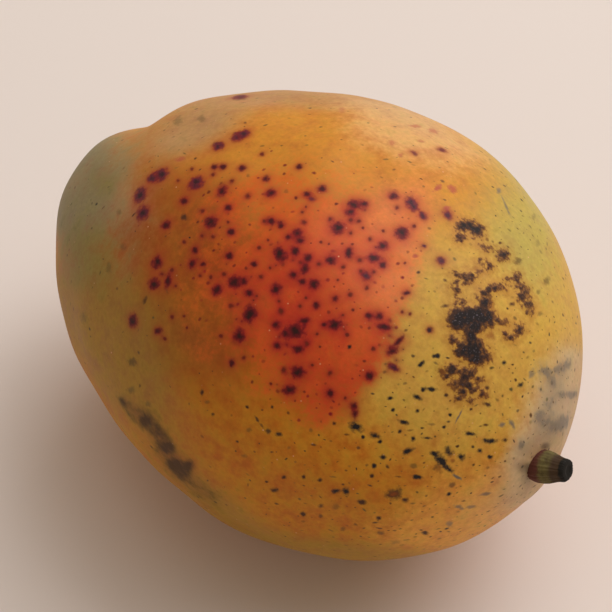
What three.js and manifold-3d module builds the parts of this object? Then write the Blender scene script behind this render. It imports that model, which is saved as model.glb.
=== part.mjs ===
// A ripe mango lying on one cheek, with the stub of its stem still on it.
// Millimetres, +Z up. The origin is the middle of the small flat spot that the fruit rests on, and
// its long axis runs along X with the stem end at +X.
import * as THREE from "three";
import { mergeVertices } from "three/addons/utils/BufferGeometryUtils.js";
import Module from "manifold-3d";

const wasm = await Module();
wasm.setup();

// The fruit's body before its beak, its sinus and its stem basin: a rounded ovoid.
const HALF_LENGTH = 55;
const HALF_WIDTH = 41.6;
const HALF_THICKNESS = 38.6;
const ROUNDNESS = 1.95; // 2 is an ellipsoid, and less than that is slightly pointed
const STEM_END_SWELL = 0.096; // the stem end is this much wider, and the tip this much narrower
const WAIST = -0.051; // below 0 the fruit is fuller in the middle than at its ends
const SIDE_BEND = -3.9; // how far both ends turn to one side
const UP_BEND = 1.2; // how far both ends turn up
const MEAN_SQUARE = 0.33; // keeps the bends from moving the whole fruit

// Directions from the fruit's middle: lon turns from the stem end towards +Y, lat is up.
const BEAK = { lon: 175.9, lat: 16.4, height: 3.0, spread: 25 };
const SINUS = { lon: 159.7, lat: 18.9, depth: 3.2, width: 7.4, length: 25.7, turn: 46.4 };
const STEM_PLACE = { lon: -1.2, lat: -1.2 };
const STEM_RIM = { height: 0.55, angle: 7.5, width: 3 };
const STEM_BASIN = { depth: 0.9, width: 5.5 };

// How the fruit lies: it balances on its cheek with its stem end a little high.
const PITCH = 6;
const ROLL = 5.7;
const FLAT_DEPTH = 0.45; // how much of the skin the flat spot takes off

// The stem stub: it leans up and sideways from the stem end.
const STEM_LEAN = { lon: 13, lat: 14.5 };
const STEM_FLUTES = 5;
const FLUTE_DEPTH = 0.06; // as a share of the radius
const ROOT_GAP = 0.3;
// Radius and height along the stub, where height 0 is level with the skin.
const STEM_PROFILE = [
  [0, -3.2], [1.7, -3.0], [2.35, -1.4], [2.75, -0.2], [2.95, 0.7], [2.9, 1.5], [2.75, 2.4],
  [2.5, 3.4], [2.25, 4.3], [2.1, 5.0], [2.08, 5.6], [2.15, 6.2], [2.12, 6.7], [1.9, 7.0],
  [1.2, 7.05], [0.6, 6.85], [0, 6.8],
];
const SOCKET_HEIGHT = 5;

// How finely the surfaces are divided.
const RINGS = 48;
const SEGMENTS = 64;
const POLE_CROWDING = 0.6; // rings lie closer together towards the stem and the tip
const STEM_SEGMENTS = 30;

const SKIN_COLOUR = 0xc98a2e;
const STEM_COLOUR = 0x5a4a2c;

const rad = THREE.MathUtils.degToRad;

// The unit vector of a direction given by its lon and lat.
function direction(lon, lat) {
  const level = Math.cos(rad(lat));
  return new THREE.Vector3(
    level * Math.cos(rad(lon)),
    level * Math.sin(rad(lon)),
    Math.sin(rad(lat)),
  );
}

// A smooth hill of height 1, with x given in the same unit as its width.
function hill(x, width) {
  return Math.exp(-((x / width) ** 2));
}

// The crease beside the beak: a long narrow valley that lies turned on the skin.
const sinusMiddle = direction(SINUS.lon, SINUS.lat);
const sinusLevel = new THREE.Vector3(0, 0, 1).cross(sinusMiddle).normalize();
const sinusUp = sinusMiddle.clone().cross(sinusLevel);
const turnCos = Math.cos(rad(SINUS.turn));
const turnSin = Math.sin(rad(SINUS.turn));
const sinusAlong = sinusLevel.clone().multiplyScalar(turnCos).addScaledVector(sinusUp, turnSin);
const sinusAcross = sinusUp.clone().multiplyScalar(turnCos).addScaledVector(sinusLevel, -turnSin);
const beakMiddle = direction(BEAK.lon, BEAK.lat);
const stemMiddle = direction(STEM_PLACE.lon, STEM_PLACE.lat);

// How far the skin stands out from the plain ovoid in the direction u.
function relief(u) {
  const ahead = u.dot(sinusMiddle);
  const along = THREE.MathUtils.radToDeg(Math.atan2(u.dot(sinusAlong), ahead));
  const across = THREE.MathUtils.radToDeg(Math.atan2(u.dot(sinusAcross), ahead));
  const fromBeak = THREE.MathUtils.radToDeg(u.angleTo(beakMiddle));
  const fromStem = THREE.MathUtils.radToDeg(u.angleTo(stemMiddle));
  return (
    BEAK.height * hill(fromBeak, BEAK.spread) -
    SINUS.depth * hill(along, SINUS.length) * hill(across, SINUS.width) +
    STEM_RIM.height * hill(fromStem - STEM_RIM.angle, STEM_RIM.width) -
    STEM_BASIN.depth * hill(fromStem, STEM_BASIN.width)
  );
}

// The point of the skin in the direction u from the fruit's middle.
function skinPoint(u) {
  const section = Math.hypot(u.y / HALF_WIDTH, u.z / HALF_THICKNESS);
  const reach =
    (Math.abs(u.x / HALF_LENGTH) ** ROUNDNESS + section ** ROUNDNESS) ** (-1 / ROUNDNESS);
  const point = u.clone().multiplyScalar(reach);
  const t = point.x / HALF_LENGTH;
  const ends = t * t - MEAN_SQUARE;
  const girth = 1 + STEM_END_SWELL * t + WAIST * ends;
  point.y = point.y * girth + SIDE_BEND * ends;
  point.z = point.z * girth + UP_BEND * ends;
  return point.addScaledVector(u, relief(u));
}

// Where ring number i lies between the stem, at 0, and the tip, at half a turn.
function ringAngle(i) {
  const s = i / RINGS;
  return Math.PI * (s - (POLE_CROWDING * Math.sin(2 * Math.PI * s)) / (2 * Math.PI));
}

// The whole skin as one closed mesh: rings from the stem to the tip, and one vertex at each pole.
function skinGeometry() {
  const pole = direction(0, 0);
  const points = [skinPoint(pole)];
  for (let i = 1; i < RINGS; i++) {
    const angle = ringAngle(i);
    for (let j = 0; j < SEGMENTS; j++) {
      const round = (2 * Math.PI * j) / SEGMENTS;
      points.push(
        skinPoint(
          new THREE.Vector3(
            Math.cos(angle),
            Math.sin(angle) * Math.cos(round),
            Math.sin(angle) * Math.sin(round),
          ),
        ),
      );
    }
  }
  points.push(skinPoint(pole.negate()));
  const tip = points.length - 1;
  const at = (ring, j) => 1 + (ring - 1) * SEGMENTS + (j % SEGMENTS);
  const faces = [];
  for (let j = 0; j < SEGMENTS; j++) {
    faces.push(0, at(1, j), at(1, j + 1));
    for (let ring = 1; ring < RINGS - 1; ring++) {
      faces.push(at(ring, j), at(ring + 1, j), at(ring + 1, j + 1));
      faces.push(at(ring, j), at(ring + 1, j + 1), at(ring, j + 1));
    }
    faces.push(at(RINGS - 1, j), tip, at(RINGS - 1, j + 1));
  }
  const geometry = new THREE.BufferGeometry().setFromPoints(points);
  geometry.setIndex(faces);
  return geometry;
}

// A closed geometry as a solid, and a solid as a geometry.
function toSolid(geometry) {
  const bare = geometry.clone();
  bare.deleteAttribute("normal");
  bare.deleteAttribute("uv");
  const merged = mergeVertices(bare, 1e-4);
  return new wasm.Manifold(
    new wasm.Mesh({
      numProp: 3,
      vertProperties: merged.attributes.position.array,
      triVerts: new Uint32Array(merged.index.array),
    }),
  );
}

function toGeometry(solid) {
  const mesh = solid.getMesh();
  const geometry = new THREE.BufferGeometry();
  geometry.setAttribute("position", new THREE.BufferAttribute(mesh.vertProperties, 3));
  geometry.setIndex(new THREE.BufferAttribute(mesh.triVerts, 1));
  geometry.computeVertexNormals();
  return geometry;
}

// Turns the fruit from its own axes to the way it lies: rolled about its long axis, then pitched.
const lying = new THREE.Matrix4()
  .makeRotationY(-rad(PITCH))
  .multiply(new THREE.Matrix4().makeRotationX(rad(ROLL)));

// The lowest point of the lying skin, found by walking down it in ever smaller steps.
function lowestPoint() {
  let lon = 0;
  let lat = -90;
  let low = skinPoint(direction(lon, lat)).applyMatrix4(lying);
  const FIRST_STEP = 8;
  const LAST_STEP = 0.01;
  for (let step = FIRST_STEP; step > LAST_STEP; step /= 2) {
    let moved = true;
    while (moved) {
      moved = false;
      for (const [dx, dy] of [[step, 0], [-step, 0], [0, step], [0, -step]]) {
        const tiltX = Math.tan(rad(lon + dx));
        const tiltY = Math.tan(rad(lat + 90 + dy));
        const next = skinPoint(new THREE.Vector3(tiltX, tiltY, -1).normalize()).applyMatrix4(lying);
        if (next.z < low.z) {
          low = next;
          lon += dx;
          lat += dy;
          moved = true;
          break;
        }
      }
    }
  }
  return low;
}

// The stem stub as a turned shape about +Z, faintly fluted above its root.
function stemGeometry() {
  const profile = STEM_PROFILE.map(([radius, height]) => new THREE.Vector2(radius, height));
  const geometry = new THREE.LatheGeometry(profile, STEM_SEGMENTS);
  const position = geometry.attributes.position;
  for (let i = 0; i < position.count; i++) {
    const x = position.getX(i);
    const z = position.getZ(i);
    const height = position.getY(i);
    const share = THREE.MathUtils.smoothstep(height, 1, 4);
    const flute = 1 - FLUTE_DEPTH * share * (1 + Math.cos(STEM_FLUTES * Math.atan2(z, x))) * 0.5;
    position.setXYZ(i, x * flute, height, z * flute);
  }
  return geometry.rotateX(Math.PI / 2);
}

// The hole that the stub's root sits in: its own outline, wider by the gap, and open at the skin.
function socketGeometry() {
  const outline = STEM_PROFILE.filter(([radius, height]) => radius > 0 && height < 1).map(
    ([radius, height]) => new THREE.Vector2(radius + ROOT_GAP, height),
  );
  const widest = outline[outline.length - 1].x;
  const floor = STEM_PROFILE[0][1] - ROOT_GAP;
  return new THREE.LatheGeometry(
    [
      new THREE.Vector2(0, floor),
      new THREE.Vector2(outline[0].x, floor),
      ...outline,
      new THREE.Vector2(widest, SOCKET_HEIGHT),
      new THREE.Vector2(0, SOCKET_HEIGHT),
    ],
    STEM_SEGMENTS,
  ).rotateX(Math.PI / 2);
}

// Carries a shape built about +Z at the origin to the stem end of the lying fruit.
function atStemEnd(geometry, shift) {
  const lean = direction(STEM_LEAN.lon, STEM_LEAN.lat);
  const turn = new THREE.Quaternion().setFromUnitVectors(new THREE.Vector3(0, 0, 1), lean);
  return geometry
    .applyQuaternion(turn)
    .translate(...skinPoint(stemMiddle).toArray())
    .applyMatrix4(lying)
    .translate(...shift.toArray());
}

const low = lowestPoint();
const toOrigin = new THREE.Vector3(-low.x, -low.y, -low.z - FLAT_DEPTH);

// The fruit: the skin, with the stem's socket cut in and the flat spot cut off underneath.
function fruitGeometry() {
  const skin = toSolid(skinGeometry().applyMatrix4(lying).translate(...toOrigin.toArray()));
  const socket = toSolid(atStemEnd(socketGeometry(), toOrigin));
  const under = new THREE.BoxGeometry(HALF_LENGTH, HALF_LENGTH, 10).translate(0, 0, -5);
  return toGeometry(skin.subtract(socket).subtract(toSolid(under)));
}

function part(name, geometry, colour, roughness) {
  const material = new THREE.MeshStandardMaterial({ color: colour, roughness, metalness: 0 });
  const mesh = new THREE.Mesh(geometry, material);
  mesh.name = name;
  return mesh;
}

const mango = new THREE.Group();
mango.add(part("fruit", fruitGeometry(), SKIN_COLOUR, 0.5));
mango.add(part("stem_stub", atStemEnd(stemGeometry(), toOrigin), STEM_COLOUR, 0.8));

export default mango;
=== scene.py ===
"""A ripe mango lying on one cheek, with the stub of its stem on it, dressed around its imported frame.

Everything is in metres, +Z up, in the frame's own axes: the origin is the middle of the flat spot that
the fruit rests on, and +X points along the fruit to its stem. Sizes of the fruit itself are named in mm.
"""

import logging
import math
from dataclasses import dataclass
from dataclasses import field
from enum import Enum
from functools import cached_property

import bpy
import numpy as np
from mathutils import Matrix
from mathutils import Vector
from mathutils.bvhtree import BVHTree


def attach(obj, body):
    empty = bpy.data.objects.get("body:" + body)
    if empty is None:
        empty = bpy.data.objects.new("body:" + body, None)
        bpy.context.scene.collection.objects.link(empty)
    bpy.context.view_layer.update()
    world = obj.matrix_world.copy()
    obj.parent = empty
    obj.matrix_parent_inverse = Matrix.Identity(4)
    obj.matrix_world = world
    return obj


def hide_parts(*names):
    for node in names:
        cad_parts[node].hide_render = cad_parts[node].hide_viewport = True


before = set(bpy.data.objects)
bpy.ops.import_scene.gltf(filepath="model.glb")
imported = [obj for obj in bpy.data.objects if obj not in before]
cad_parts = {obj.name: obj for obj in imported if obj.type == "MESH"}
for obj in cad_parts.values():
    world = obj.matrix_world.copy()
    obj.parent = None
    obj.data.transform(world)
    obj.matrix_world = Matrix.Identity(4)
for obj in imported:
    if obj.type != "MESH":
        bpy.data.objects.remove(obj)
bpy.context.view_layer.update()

LOG = logging.getLogger("mango")
MM = 0.001
UP = np.array([0.0, 0.0, 1.0])


def unit(vectors: np.ndarray) -> np.ndarray:
    """Scales vectors along the last axis to length 1."""
    return vectors / np.linalg.norm(vectors, axis=-1, keepdims=True)


def direction(lon: float, lat: float) -> np.ndarray:
    """The unit vector that turns by lon from +X towards +Y and then by lat up, in degrees."""
    level = math.cos(math.radians(lat))
    return np.array([
        level * math.cos(math.radians(lon)),
        level * math.sin(math.radians(lon)),
        math.sin(math.radians(lat)),
    ])


def hill(x: np.ndarray, width: float) -> np.ndarray:
    """A smooth hill of height 1 at x = 0: e to the power of minus the square of x over its width."""
    return np.exp(-((x / width) ** 2))


def ease(x: np.ndarray, low: float, high: float) -> np.ndarray:
    """A smooth step from 0 where x is at low to 1 where it is at high."""
    share = np.clip((x - low) / (high - low), 0.0, 1.0)
    return share * share * (3.0 - 2.0 * share)


def linear(colour: str) -> tuple[float, float, float, float]:
    """Turns an sRGB hex colour into the linear colour that a shader socket takes.

    Args:
        colour: the colour as "#rrggbb".

    Returns:
        Red, green and blue in linear light, and an alpha of 1.
    """
    channels = [int(colour[i:i + 2], 16) / 255.0 for i in (1, 3, 5)]
    return (*[c / 12.92 if c <= 0.04045 else ((c + 0.055) / 1.055) ** 2.4 for c in channels], 1.0)


def per_metre(size_mm: float) -> float:
    """The texture scale whose features are that many millimetres across."""
    return 1.0 / (size_mm * MM)


def add(
    tree: bpy.types.NodeTree,
    kind: str,
    settings: dict[str, object] | None = None,
    inputs: dict[int | str, object] | None = None,
) -> bpy.types.Node:
    """Adds one node, with its settings, its input values and its links.

    Args:
        tree: the node tree that it goes into.
        kind: the node's type, without the ShaderNode that its name starts with.
        settings: its properties by name.
        inputs: its inputs by name or number, each a value or the output that it is linked to.

    Returns:
        The new node.
    """
    node = tree.nodes.new("ShaderNode" + kind)
    for name, value in (settings or {}).items():
        setattr(node, name, value)
    for key, value in (inputs or {}).items():
        if isinstance(value, bpy.types.NodeSocket):
            tree.links.new(value, node.inputs[key])
        else:
            node.inputs[key].default_value = value
    return node


def closed_surface(name: str, start: np.ndarray, rings: np.ndarray, end: np.ndarray) -> bpy.types.Object:
    """Makes one closed, smooth mesh of rings that close on themselves, with a single vertex at each pole.

    Args:
        name: the piece's name.
        start: the pole before the first ring.
        rings: the points as an array of rings, points round each ring, and 3.
        end: the pole after the last ring.

    Returns:
        The new object, at the origin, with its faces pointing out if the rings turn left about the way
        from end to start.
    """
    count, around = rings.shape[:2]
    points = np.vstack([start, rings.reshape(-1, 3), end])
    step = np.arange(around)
    beside = (step + 1) % around
    first = 1 + np.arange(count - 1)[:, None] * around
    near, far = first + step, first + beside
    quads = np.stack([near, near + around, far + around, far], axis=-1).reshape(-1, 4)
    last = 1 + (count - 1) * around
    tip = len(points) - 1
    caps = np.vstack([
        np.stack([np.zeros_like(step), 1 + step, 1 + beside], axis=-1),
        np.stack([last + step, np.full_like(step, tip), last + beside], axis=-1),
    ])
    mesh = bpy.data.meshes.new(name)
    mesh.from_pydata(points.tolist(), [], quads.tolist() + caps.tolist())
    mesh.shade_smooth()
    piece = bpy.data.objects.new(name, mesh)
    bpy.context.scene.collection.objects.link(piece)
    return piece


def store(mesh: bpy.types.Mesh, name: str, values: np.ndarray) -> None:
    """Keeps one number for each vertex as an attribute that the materials read."""
    attribute = mesh.attributes.new(name, "FLOAT", "POINT")
    attribute.data.foreach_set("value", values.astype(np.float32))


@dataclass(frozen=True)
class FruitForm:
    """The fruit's form, by the formula that its solid follows. Lengths are in mm and angles in degrees.

    At the stem the skin has a low mound, where the solid has a shallow basin that lies up to 2.2 mm lower.
    The search values say how the lowest point of the skin is looked for.
    """

    half_length: float = 55.0
    half_width: float = 41.6
    half_thickness: float = 38.6
    roundness: float = 1.95
    stem_end_swell: float = 0.096
    waist: float = -0.051
    side_bend: float = -3.9
    up_bend: float = 1.2
    mean_square: float = 0.33
    beak_at: tuple[float, float] = (175.9, 16.4)
    beak_height: float = 3.0
    beak_spread: float = 25.0
    sinus_at: tuple[float, float] = (159.7, 18.9)
    sinus_depth: float = 3.2
    sinus_width: float = 7.4
    sinus_length: float = 25.7
    sinus_turn: float = 46.4
    stem_at: tuple[float, float] = (-1.2, 0.4)
    stem_rim_height: float = 0.55
    stem_rim_angle: float = 7.5
    stem_rim_width: float = 3.0
    stem_mound_height: float = 1.3
    stem_mound_width: float = 10.5
    pitch: float = 6.0
    roll: float = 5.7
    flat_depth: float = 0.45
    search_reach: float = 0.3
    search_points: int = 41
    search_rounds: tuple[float, ...] = (1.0, 0.1, 0.01)

    def relief(self, u: np.ndarray) -> np.ndarray:
        """How far the skin stands out from the plain ovoid, in mm.

        It is the beak's hill, less the sinus, which is a hill along times a hill across in angles from
        its middle, plus the low rim round the stem and the mound that the stem stands on.

        Args:
            u: unit directions from the fruit's middle.

        Returns:
            One height for each direction.
        """
        middle = direction(*self.sinus_at)
        level = unit(np.cross(UP, middle))
        above = np.cross(middle, level)
        turn = math.radians(self.sinus_turn)
        ahead = u @ middle
        along = np.degrees(np.arctan2(u @ (math.cos(turn) * level + math.sin(turn) * above), ahead))
        across = np.degrees(np.arctan2(u @ (math.cos(turn) * above - math.sin(turn) * level), ahead))
        from_beak = np.degrees(np.arccos(np.clip(u @ direction(*self.beak_at), -1.0, 1.0)))
        from_stem = np.degrees(np.arccos(np.clip(u @ direction(*self.stem_at), -1.0, 1.0)))
        return (
            self.beak_height * hill(from_beak, self.beak_spread)
            - self.sinus_depth * hill(along, self.sinus_length) * hill(across, self.sinus_width)
            + self.stem_rim_height * hill(from_stem - self.stem_rim_angle, self.stem_rim_width)
            + self.stem_mound_height * hill(from_stem, self.stem_mound_width)
        )

    def skin(self, u: np.ndarray) -> np.ndarray:
        """The skin's points in the fruit's own axes, in mm.

        The reach is that of an ovoid whose cross sections are ellipses and whose length and section add
        up by a power of the roundness. Its girth then changes along the length, its ends bend sideways
        and up by the square of the length, and the relief is added along the direction.

        Args:
            u: unit directions from the fruit's middle.

        Returns:
            One point for each direction.
        """
        section = np.hypot(u[..., 1] / self.half_width, u[..., 2] / self.half_thickness)
        power = self.roundness
        reach = (np.abs(u[..., 0] / self.half_length) ** power + section ** power) ** (-1.0 / power)
        points = u * reach[..., None]
        share = points[..., 0] / self.half_length
        ends = share ** 2 - self.mean_square
        girth = 1.0 + self.stem_end_swell * share + self.waist * ends
        points[..., 1] = points[..., 1] * girth + self.side_bend * ends
        points[..., 2] = points[..., 2] * girth + self.up_bend * ends
        return points + u * self.relief(u)[..., None]

    @cached_property
    def rest_turn(self) -> np.ndarray:
        """The turn from the fruit's own axes to the way it lies: rolled about X, then pitched about Y.

        Returns:
            The turn as a matrix of 3 by 3.
        """
        pitch = Matrix.Rotation(-math.radians(self.pitch), 3, "Y")
        roll = Matrix.Rotation(math.radians(self.roll), 3, "X")
        return np.array(pitch @ roll)

    @cached_property
    def rest_shift(self) -> np.ndarray:
        """Where the fruit's middle goes, in mm, so that the flat spot's middle is at the origin.

        The lowest point of the turned skin is the lowest of a patch of directions round straight down.
        The patch is laid again round that point, ten times finer each time.

        Returns:
            The shift along each axis.
        """
        patch = np.linspace(-self.search_reach, self.search_reach, self.search_points)
        best = np.zeros(2)
        for finer in self.search_rounds:
            tilts = np.stack(np.meshgrid(best[0] + patch * finer, best[1] + patch * finer), axis=-1)
            tilts = tilts.reshape(-1, 2)
            down = np.column_stack([tilts, -np.ones(len(tilts))])
            points = self.skin(unit(down)) @ self.rest_turn.T
            lowest = points[:, 2].argmin()
            best = tilts[lowest]
        low = points[lowest]
        return np.array([-low[0], -low[1], -low[2] - self.flat_depth])

    def lay(self, points: np.ndarray) -> np.ndarray:
        """Carries points from the fruit's own axes, in mm, to where it lies in the frame, in metres."""
        return (points @ self.rest_turn.T + self.rest_shift) * MM


@dataclass(frozen=True)
class PhotoView:
    """The photo's camera: its angles, its distance from the fruit's middle, and its focal length."""

    middle: np.ndarray
    azimuth: float = 41.8
    elevation: float = 48.8
    distance: float = 0.4208
    focal_pixels: float = 2268.0
    frame_pixels: float = 612.0
    middle_pixel: tuple[float, float] = (311.9, 314.3)
    sensor_mm: float = 36.0
    clip_start: float = 0.01

    @cached_property
    def axes(self) -> tuple[np.ndarray, np.ndarray, np.ndarray, np.ndarray]:
        """The camera's place, and the ways to the right, up and ahead in its picture.

        It stands back from the fruit's middle by its distance, and looks a little past the middle, so
        that the middle falls on its own pixel.

        Returns:
            The place in metres, and three unit vectors.
        """
        turn, rise = math.radians(self.azimuth), math.radians(self.elevation)
        back = np.array([
            math.sin(turn) * math.cos(rise),
            -math.cos(turn) * math.cos(rise),
            math.sin(rise),
        ])
        side = np.array([math.cos(turn), math.sin(turn), 0.0])
        place = self.middle + back * self.distance
        aside, below = np.array(self.middle_pixel) - self.frame_pixels / 2
        per_pixel = self.distance / self.focal_pixels
        target = self.middle - side * aside * per_pixel + np.cross(back, side) * below * per_pixel
        ahead = unit(target - place)
        right = unit(np.cross(ahead, UP))
        return place, right, np.cross(right, ahead), ahead

    def ray(self, x: float, y: float) -> np.ndarray:
        """The way from the camera through a pixel of the photo, whose frame is 612 by 612.

        Args:
            x: the pixel's place from the left.
            y: its place from the top.

        Returns:
            A unit vector.
        """
        _, right, up, ahead = self.axes
        half = self.frame_pixels / 2
        return unit(ahead * self.focal_pixels + right * (x - half) + up * (half - y))

    def make_camera(self) -> bpy.types.Object:
        """Makes the camera with the photo's angle and field of view, and makes it the scene's own.

        Returns:
            The camera's object.
        """
        place, right, up, ahead = self.axes
        data = bpy.data.cameras.new("photo_camera")
        data.sensor_width = self.sensor_mm
        data.lens = self.focal_pixels / self.frame_pixels * self.sensor_mm
        data.clip_start = self.clip_start
        camera = bpy.data.objects.new("photo_camera", data)
        turn = Matrix(np.column_stack([right, up, -ahead]).tolist())
        camera.matrix_world = Matrix.Translation(Vector(place.tolist())) @ turn.to_4x4()
        bpy.context.scene.collection.objects.link(camera)
        bpy.context.scene.camera = camera
        return camera


class Tone(Enum):
    """What a mark on the skin is made of, with its colour as sRGB hex."""

    MAROON = "#540e15"
    PLUM = "#5c2030"
    BRICK = "#722412"
    CRIMSON = "#7c1418"
    ROSE = "#b24a3e"
    UMBER = "#4a2a12"
    RUST = "#8a4512"
    SOOT = "#211c1d"
    OLIVE = "#4a4420"
    ASH = "#77695a"


@dataclass(frozen=True)
class Seen:
    """A place on the skin that the photo shows, by its pixel in the 612 by 612 frame."""

    x: float
    y: float


@dataclass(frozen=True)
class Grown:
    """A place by its direction from the fruit's middle: lon from the stem towards +Y, and lat up."""

    lon: float
    lat: float


@dataclass(frozen=True)
class Patch:
    """A soft or crisp patch of the skin: its place, its half axes in mm, and its turn in degrees.

    The axes of a patch that the photo shows are as long as they look there, across the line of sight,
    and its turn is from the photo's own horizontal, anticlockwise. The strength is how much of the
    patch's colour shows.
    """

    place: Seen | Grown
    long: float
    wide: float
    turn: float = 0.0
    strength: float = 1.0


def seen(*rows: tuple[float, ...]) -> tuple[Patch, ...]:
    """Patches at places of the photo, each given as x, y, long, wide, and then its turn and strength."""
    return tuple(Patch(Seen(row[0], row[1]), *row[2:]) for row in rows)


def grown(*rows: tuple[float, ...]) -> tuple[Patch, ...]:
    """Patches where the photo shows none, each given as lon, lat, long, wide, and its turn and strength."""
    return tuple(Patch(Grown(row[0], row[1]), *row[2:]) for row in rows)


@dataclass(frozen=True)
class Zone:
    """One colour of the ripe skin, or a patch of painted sheen, light or shade on it, and where it lies.

    Its strength at a point is what is left when each of its patches takes its share off. The ragged
    edge is how much the noise moves it, and the colour is full where it passes the upper limit.
    """

    name: str
    colour: str
    patches: tuple[Patch, ...]
    ragged: float = 0.3
    limits: tuple[float, float] = (0.08, 0.92)
    amount: float = 1.0


ZONES = (
    Zone("yellow", "#cfa044", seen(
        (515, 295, 13, 24, 80), (455, 375, 17, 13, 0), (490, 185, 15, 10, -50), (570, 320, 5, 18, 85),
    ) + grown((112, -8, 15, 8, 10, 0.7), (-35, -50, 14, 8, 0, 0.6))),
    Zone("lime", "#b8a552", seen(
        (500, 195, 13, 6, -55), (468, 150, 12, 5, -35), (528, 250, 9, 3.5, -70, 0.7),
    ), amount=0.85),
    Zone("orange", "#d1882c", seen(
        (300, 145, 34, 14, 0), (230, 175, 18, 9, 25), (400, 145, 14, 9, -20),
    )),
    Zone("ochre", "#a65914", seen(
        (182, 245, 13, 17, 50), (195, 325, 12, 10, 0, 0.8),
    ) + grown((142, -22, 14, 10, 20, 0.6))),
    # Partly painted sheen: the two thin strips along the top edge are a pale sheen painted on; the other
    # patches are the skin's own tan.
    Zone("tan", "#b78c5e", seen(
        (196, 125, 9, 4, 25), (290, 97, 14, 2.2, 0, 0.8), (405, 114, 11, 2.4, -25, 0.8),
        (515, 474, 2.4, 3.6, 0, 0.8), (114, 196, 5, 6, 60, 0.8),
    ), ragged=0.4, amount=0.8),
    # Painted sheen: a pale patch on the upper right, where the light from behind gleams on the wax.
    Zone("painted_sheen", "#e6b67c", seen(
        (402, 128, 10, 4.5, -22, 0.9), (455, 140, 8, 4, -35, 0.5),
    ), ragged=0.6, amount=0.6),
    Zone("umber", "#a8600c", seen(
        (320, 515, 26, 7, -4, 0.9), (215, 430, 16, 12, -40, 0.7),
    ), ragged=0.6, amount=0.35),
    # Painted light: paler skin low on the right, below the stem, standing in for light that falls there.
    Zone("pale", "#d8b48a", seen(
        (500, 501, 8, 3.2, 28, 0.9), (505, 478, 2.6, 3.0, 0, 0.5),
    ), ragged=0.6, amount=0.75),
    # Painted light: a brighter orange patch low on the right, standing in for light that falls there.
    Zone("painted_light_below", "#e8a444", seen(
        (458, 514, 12, 5.5, 22),
    ), ragged=0.6, amount=0.75),
    Zone("olive", "#a07a28", seen(
        (84, 305, 7, 16, 75, 0.9), (120, 370, 15, 6, -55), (310, 550, 34, 2.4, -6, 0.9),
        (215, 505, 14, 3, -36, 0.8),
    ) + grown((62, -38, 14, 9, 30, 0.7), (165, -25, 10, 9, 0, 0.8), (150, -60, 12, 9, 0, 0.7)), amount=0.8),
    Zone("green", "#93835c", seen(
        (66, 208, 7.5, 12, 80, 0.95), (94, 152, 8, 5.5, 40, 0.9),
    ), ragged=0.7, limits=(0.0, 0.95)),
    Zone("moss", "#8a7739", seen(
        (90, 256, 5.5, 5, 80, 0.9), (104, 182, 2.2, 3.0, 60, 0.5),
    ), ragged=0.8, limits=(0.0, 1.0), amount=0.85),
    Zone("blush", "#d4591c", seen(
        (328, 330, 15, 14, -40, 0.95), (335, 265, 15, 9, -10, 0.75), (252, 290, 9, 11, 0, 0.35),
        (270, 200, 20, 9, 0, 0.25), (345, 398, 8, 7, 0, 0.7),
    ), ragged=1.2, limits=(0.15, 0.85), amount=0.9),
    Zone("salmon", "#e88446", seen(
        (408, 275, 7, 14, 75), (425, 225, 9, 8, 0),
    ), ragged=0.6, amount=0.7),
    Zone("crimson", "#d03c20", seen(
        (318, 335, 12, 8, -20, 0.8), (325, 262, 10, 5, 0, 0.6), (345, 395, 7, 6, 0, 0.7),
    ), ragged=1.2, amount=0.6),
    Zone("bloom", "#c6aa86", seen(
        (554, 412, 8.5, 4.6, 75), (533, 488, 6.5, 2.8, 30, 0.9), (574, 360, 2, 3, 80, 0.6),
        (573, 415, 6, 2.6, 72, 0.8), (524, 460, 2.2, 3.5, 0, 0.9), (545, 444, 3.0, 2.5, 0, 0.9),
    ), ragged=0.4, amount=0.8),
    # Partly painted shade: the dark brown on the skin at the left of the stem's foot; the small patch above
    # the stem is its own red-brown nub.
    Zone("nub_and_stem_shade", "#5d4532", seen(
        (529, 468, 1.0, 2.4, 80, 0.7), (545, 446, 0.9, 0.6, 20, 0.9),
    ), ragged=0.5, limits=(0.25, 0.9), amount=0.7),
    Zone("shade", "#8c7c68", seen(
        (548, 378, 3.2, 1.0, -65, 0.7), (560, 374, 2.6, 1.3, 60, 0.6), (546, 414, 4.6, 2.0, 75, 0.85),
        (560, 424, 2.4, 1.8, 30, 0.8), (566, 396, 3.0, 1.2, 10, 0.5), (523, 446, 1.4, 1.4, 0, 0.5),
        (528, 478, 1.0, 1.6, 0, 0.6),
    ), ragged=1.0, limits=(0.1, 1.0), amount=0.6),
    Zone("smudge", "#75685c", seen(
        (545, 371, 0.9, 0.6, -20), (549, 376, 1.3, 0.55, -60), (552, 382, 1.4, 0.6, -80),
        (556, 369, 0.8, 0.5, 30, 0.8), (562, 367, 1.3, 0.75, 50), (531, 374, 0.8, 0.5, 70, 0.9),
        (541, 390, 0.9, 0.5, 80, 0.8), (566, 395, 1.7, 0.5, 2, 0.9), (553, 401, 0.9, 0.7, 0, 0.8),
        (549, 407, 1.1, 0.5, -60, 0.8), (540, 416, 1.4, 1.0, 60), (546, 420, 1.1, 0.7, 20, 0.8),
        (558, 426, 1.6, 0.8, 25, 0.9), (563, 420, 0.8, 0.8, 0, 0.7), (521, 445, 0.6, 0.4, 70, 0.6),
    ), ragged=2.2, limits=(0.2, 1.0), amount=0.75),
)

# The blush ends at a line on the side of the stem, where the skin was shaded: two pixels of it, from
# the top down, and how soft it is in mm.
BLUSH_EDGES = (
    (Seen(466, 175), Seen(400, 345), 4.0),
    (Seen(406, 320), Seen(356, 432), 3.6),
    (Seen(365, 436), Seen(200, 380), 7.0),
)

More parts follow.
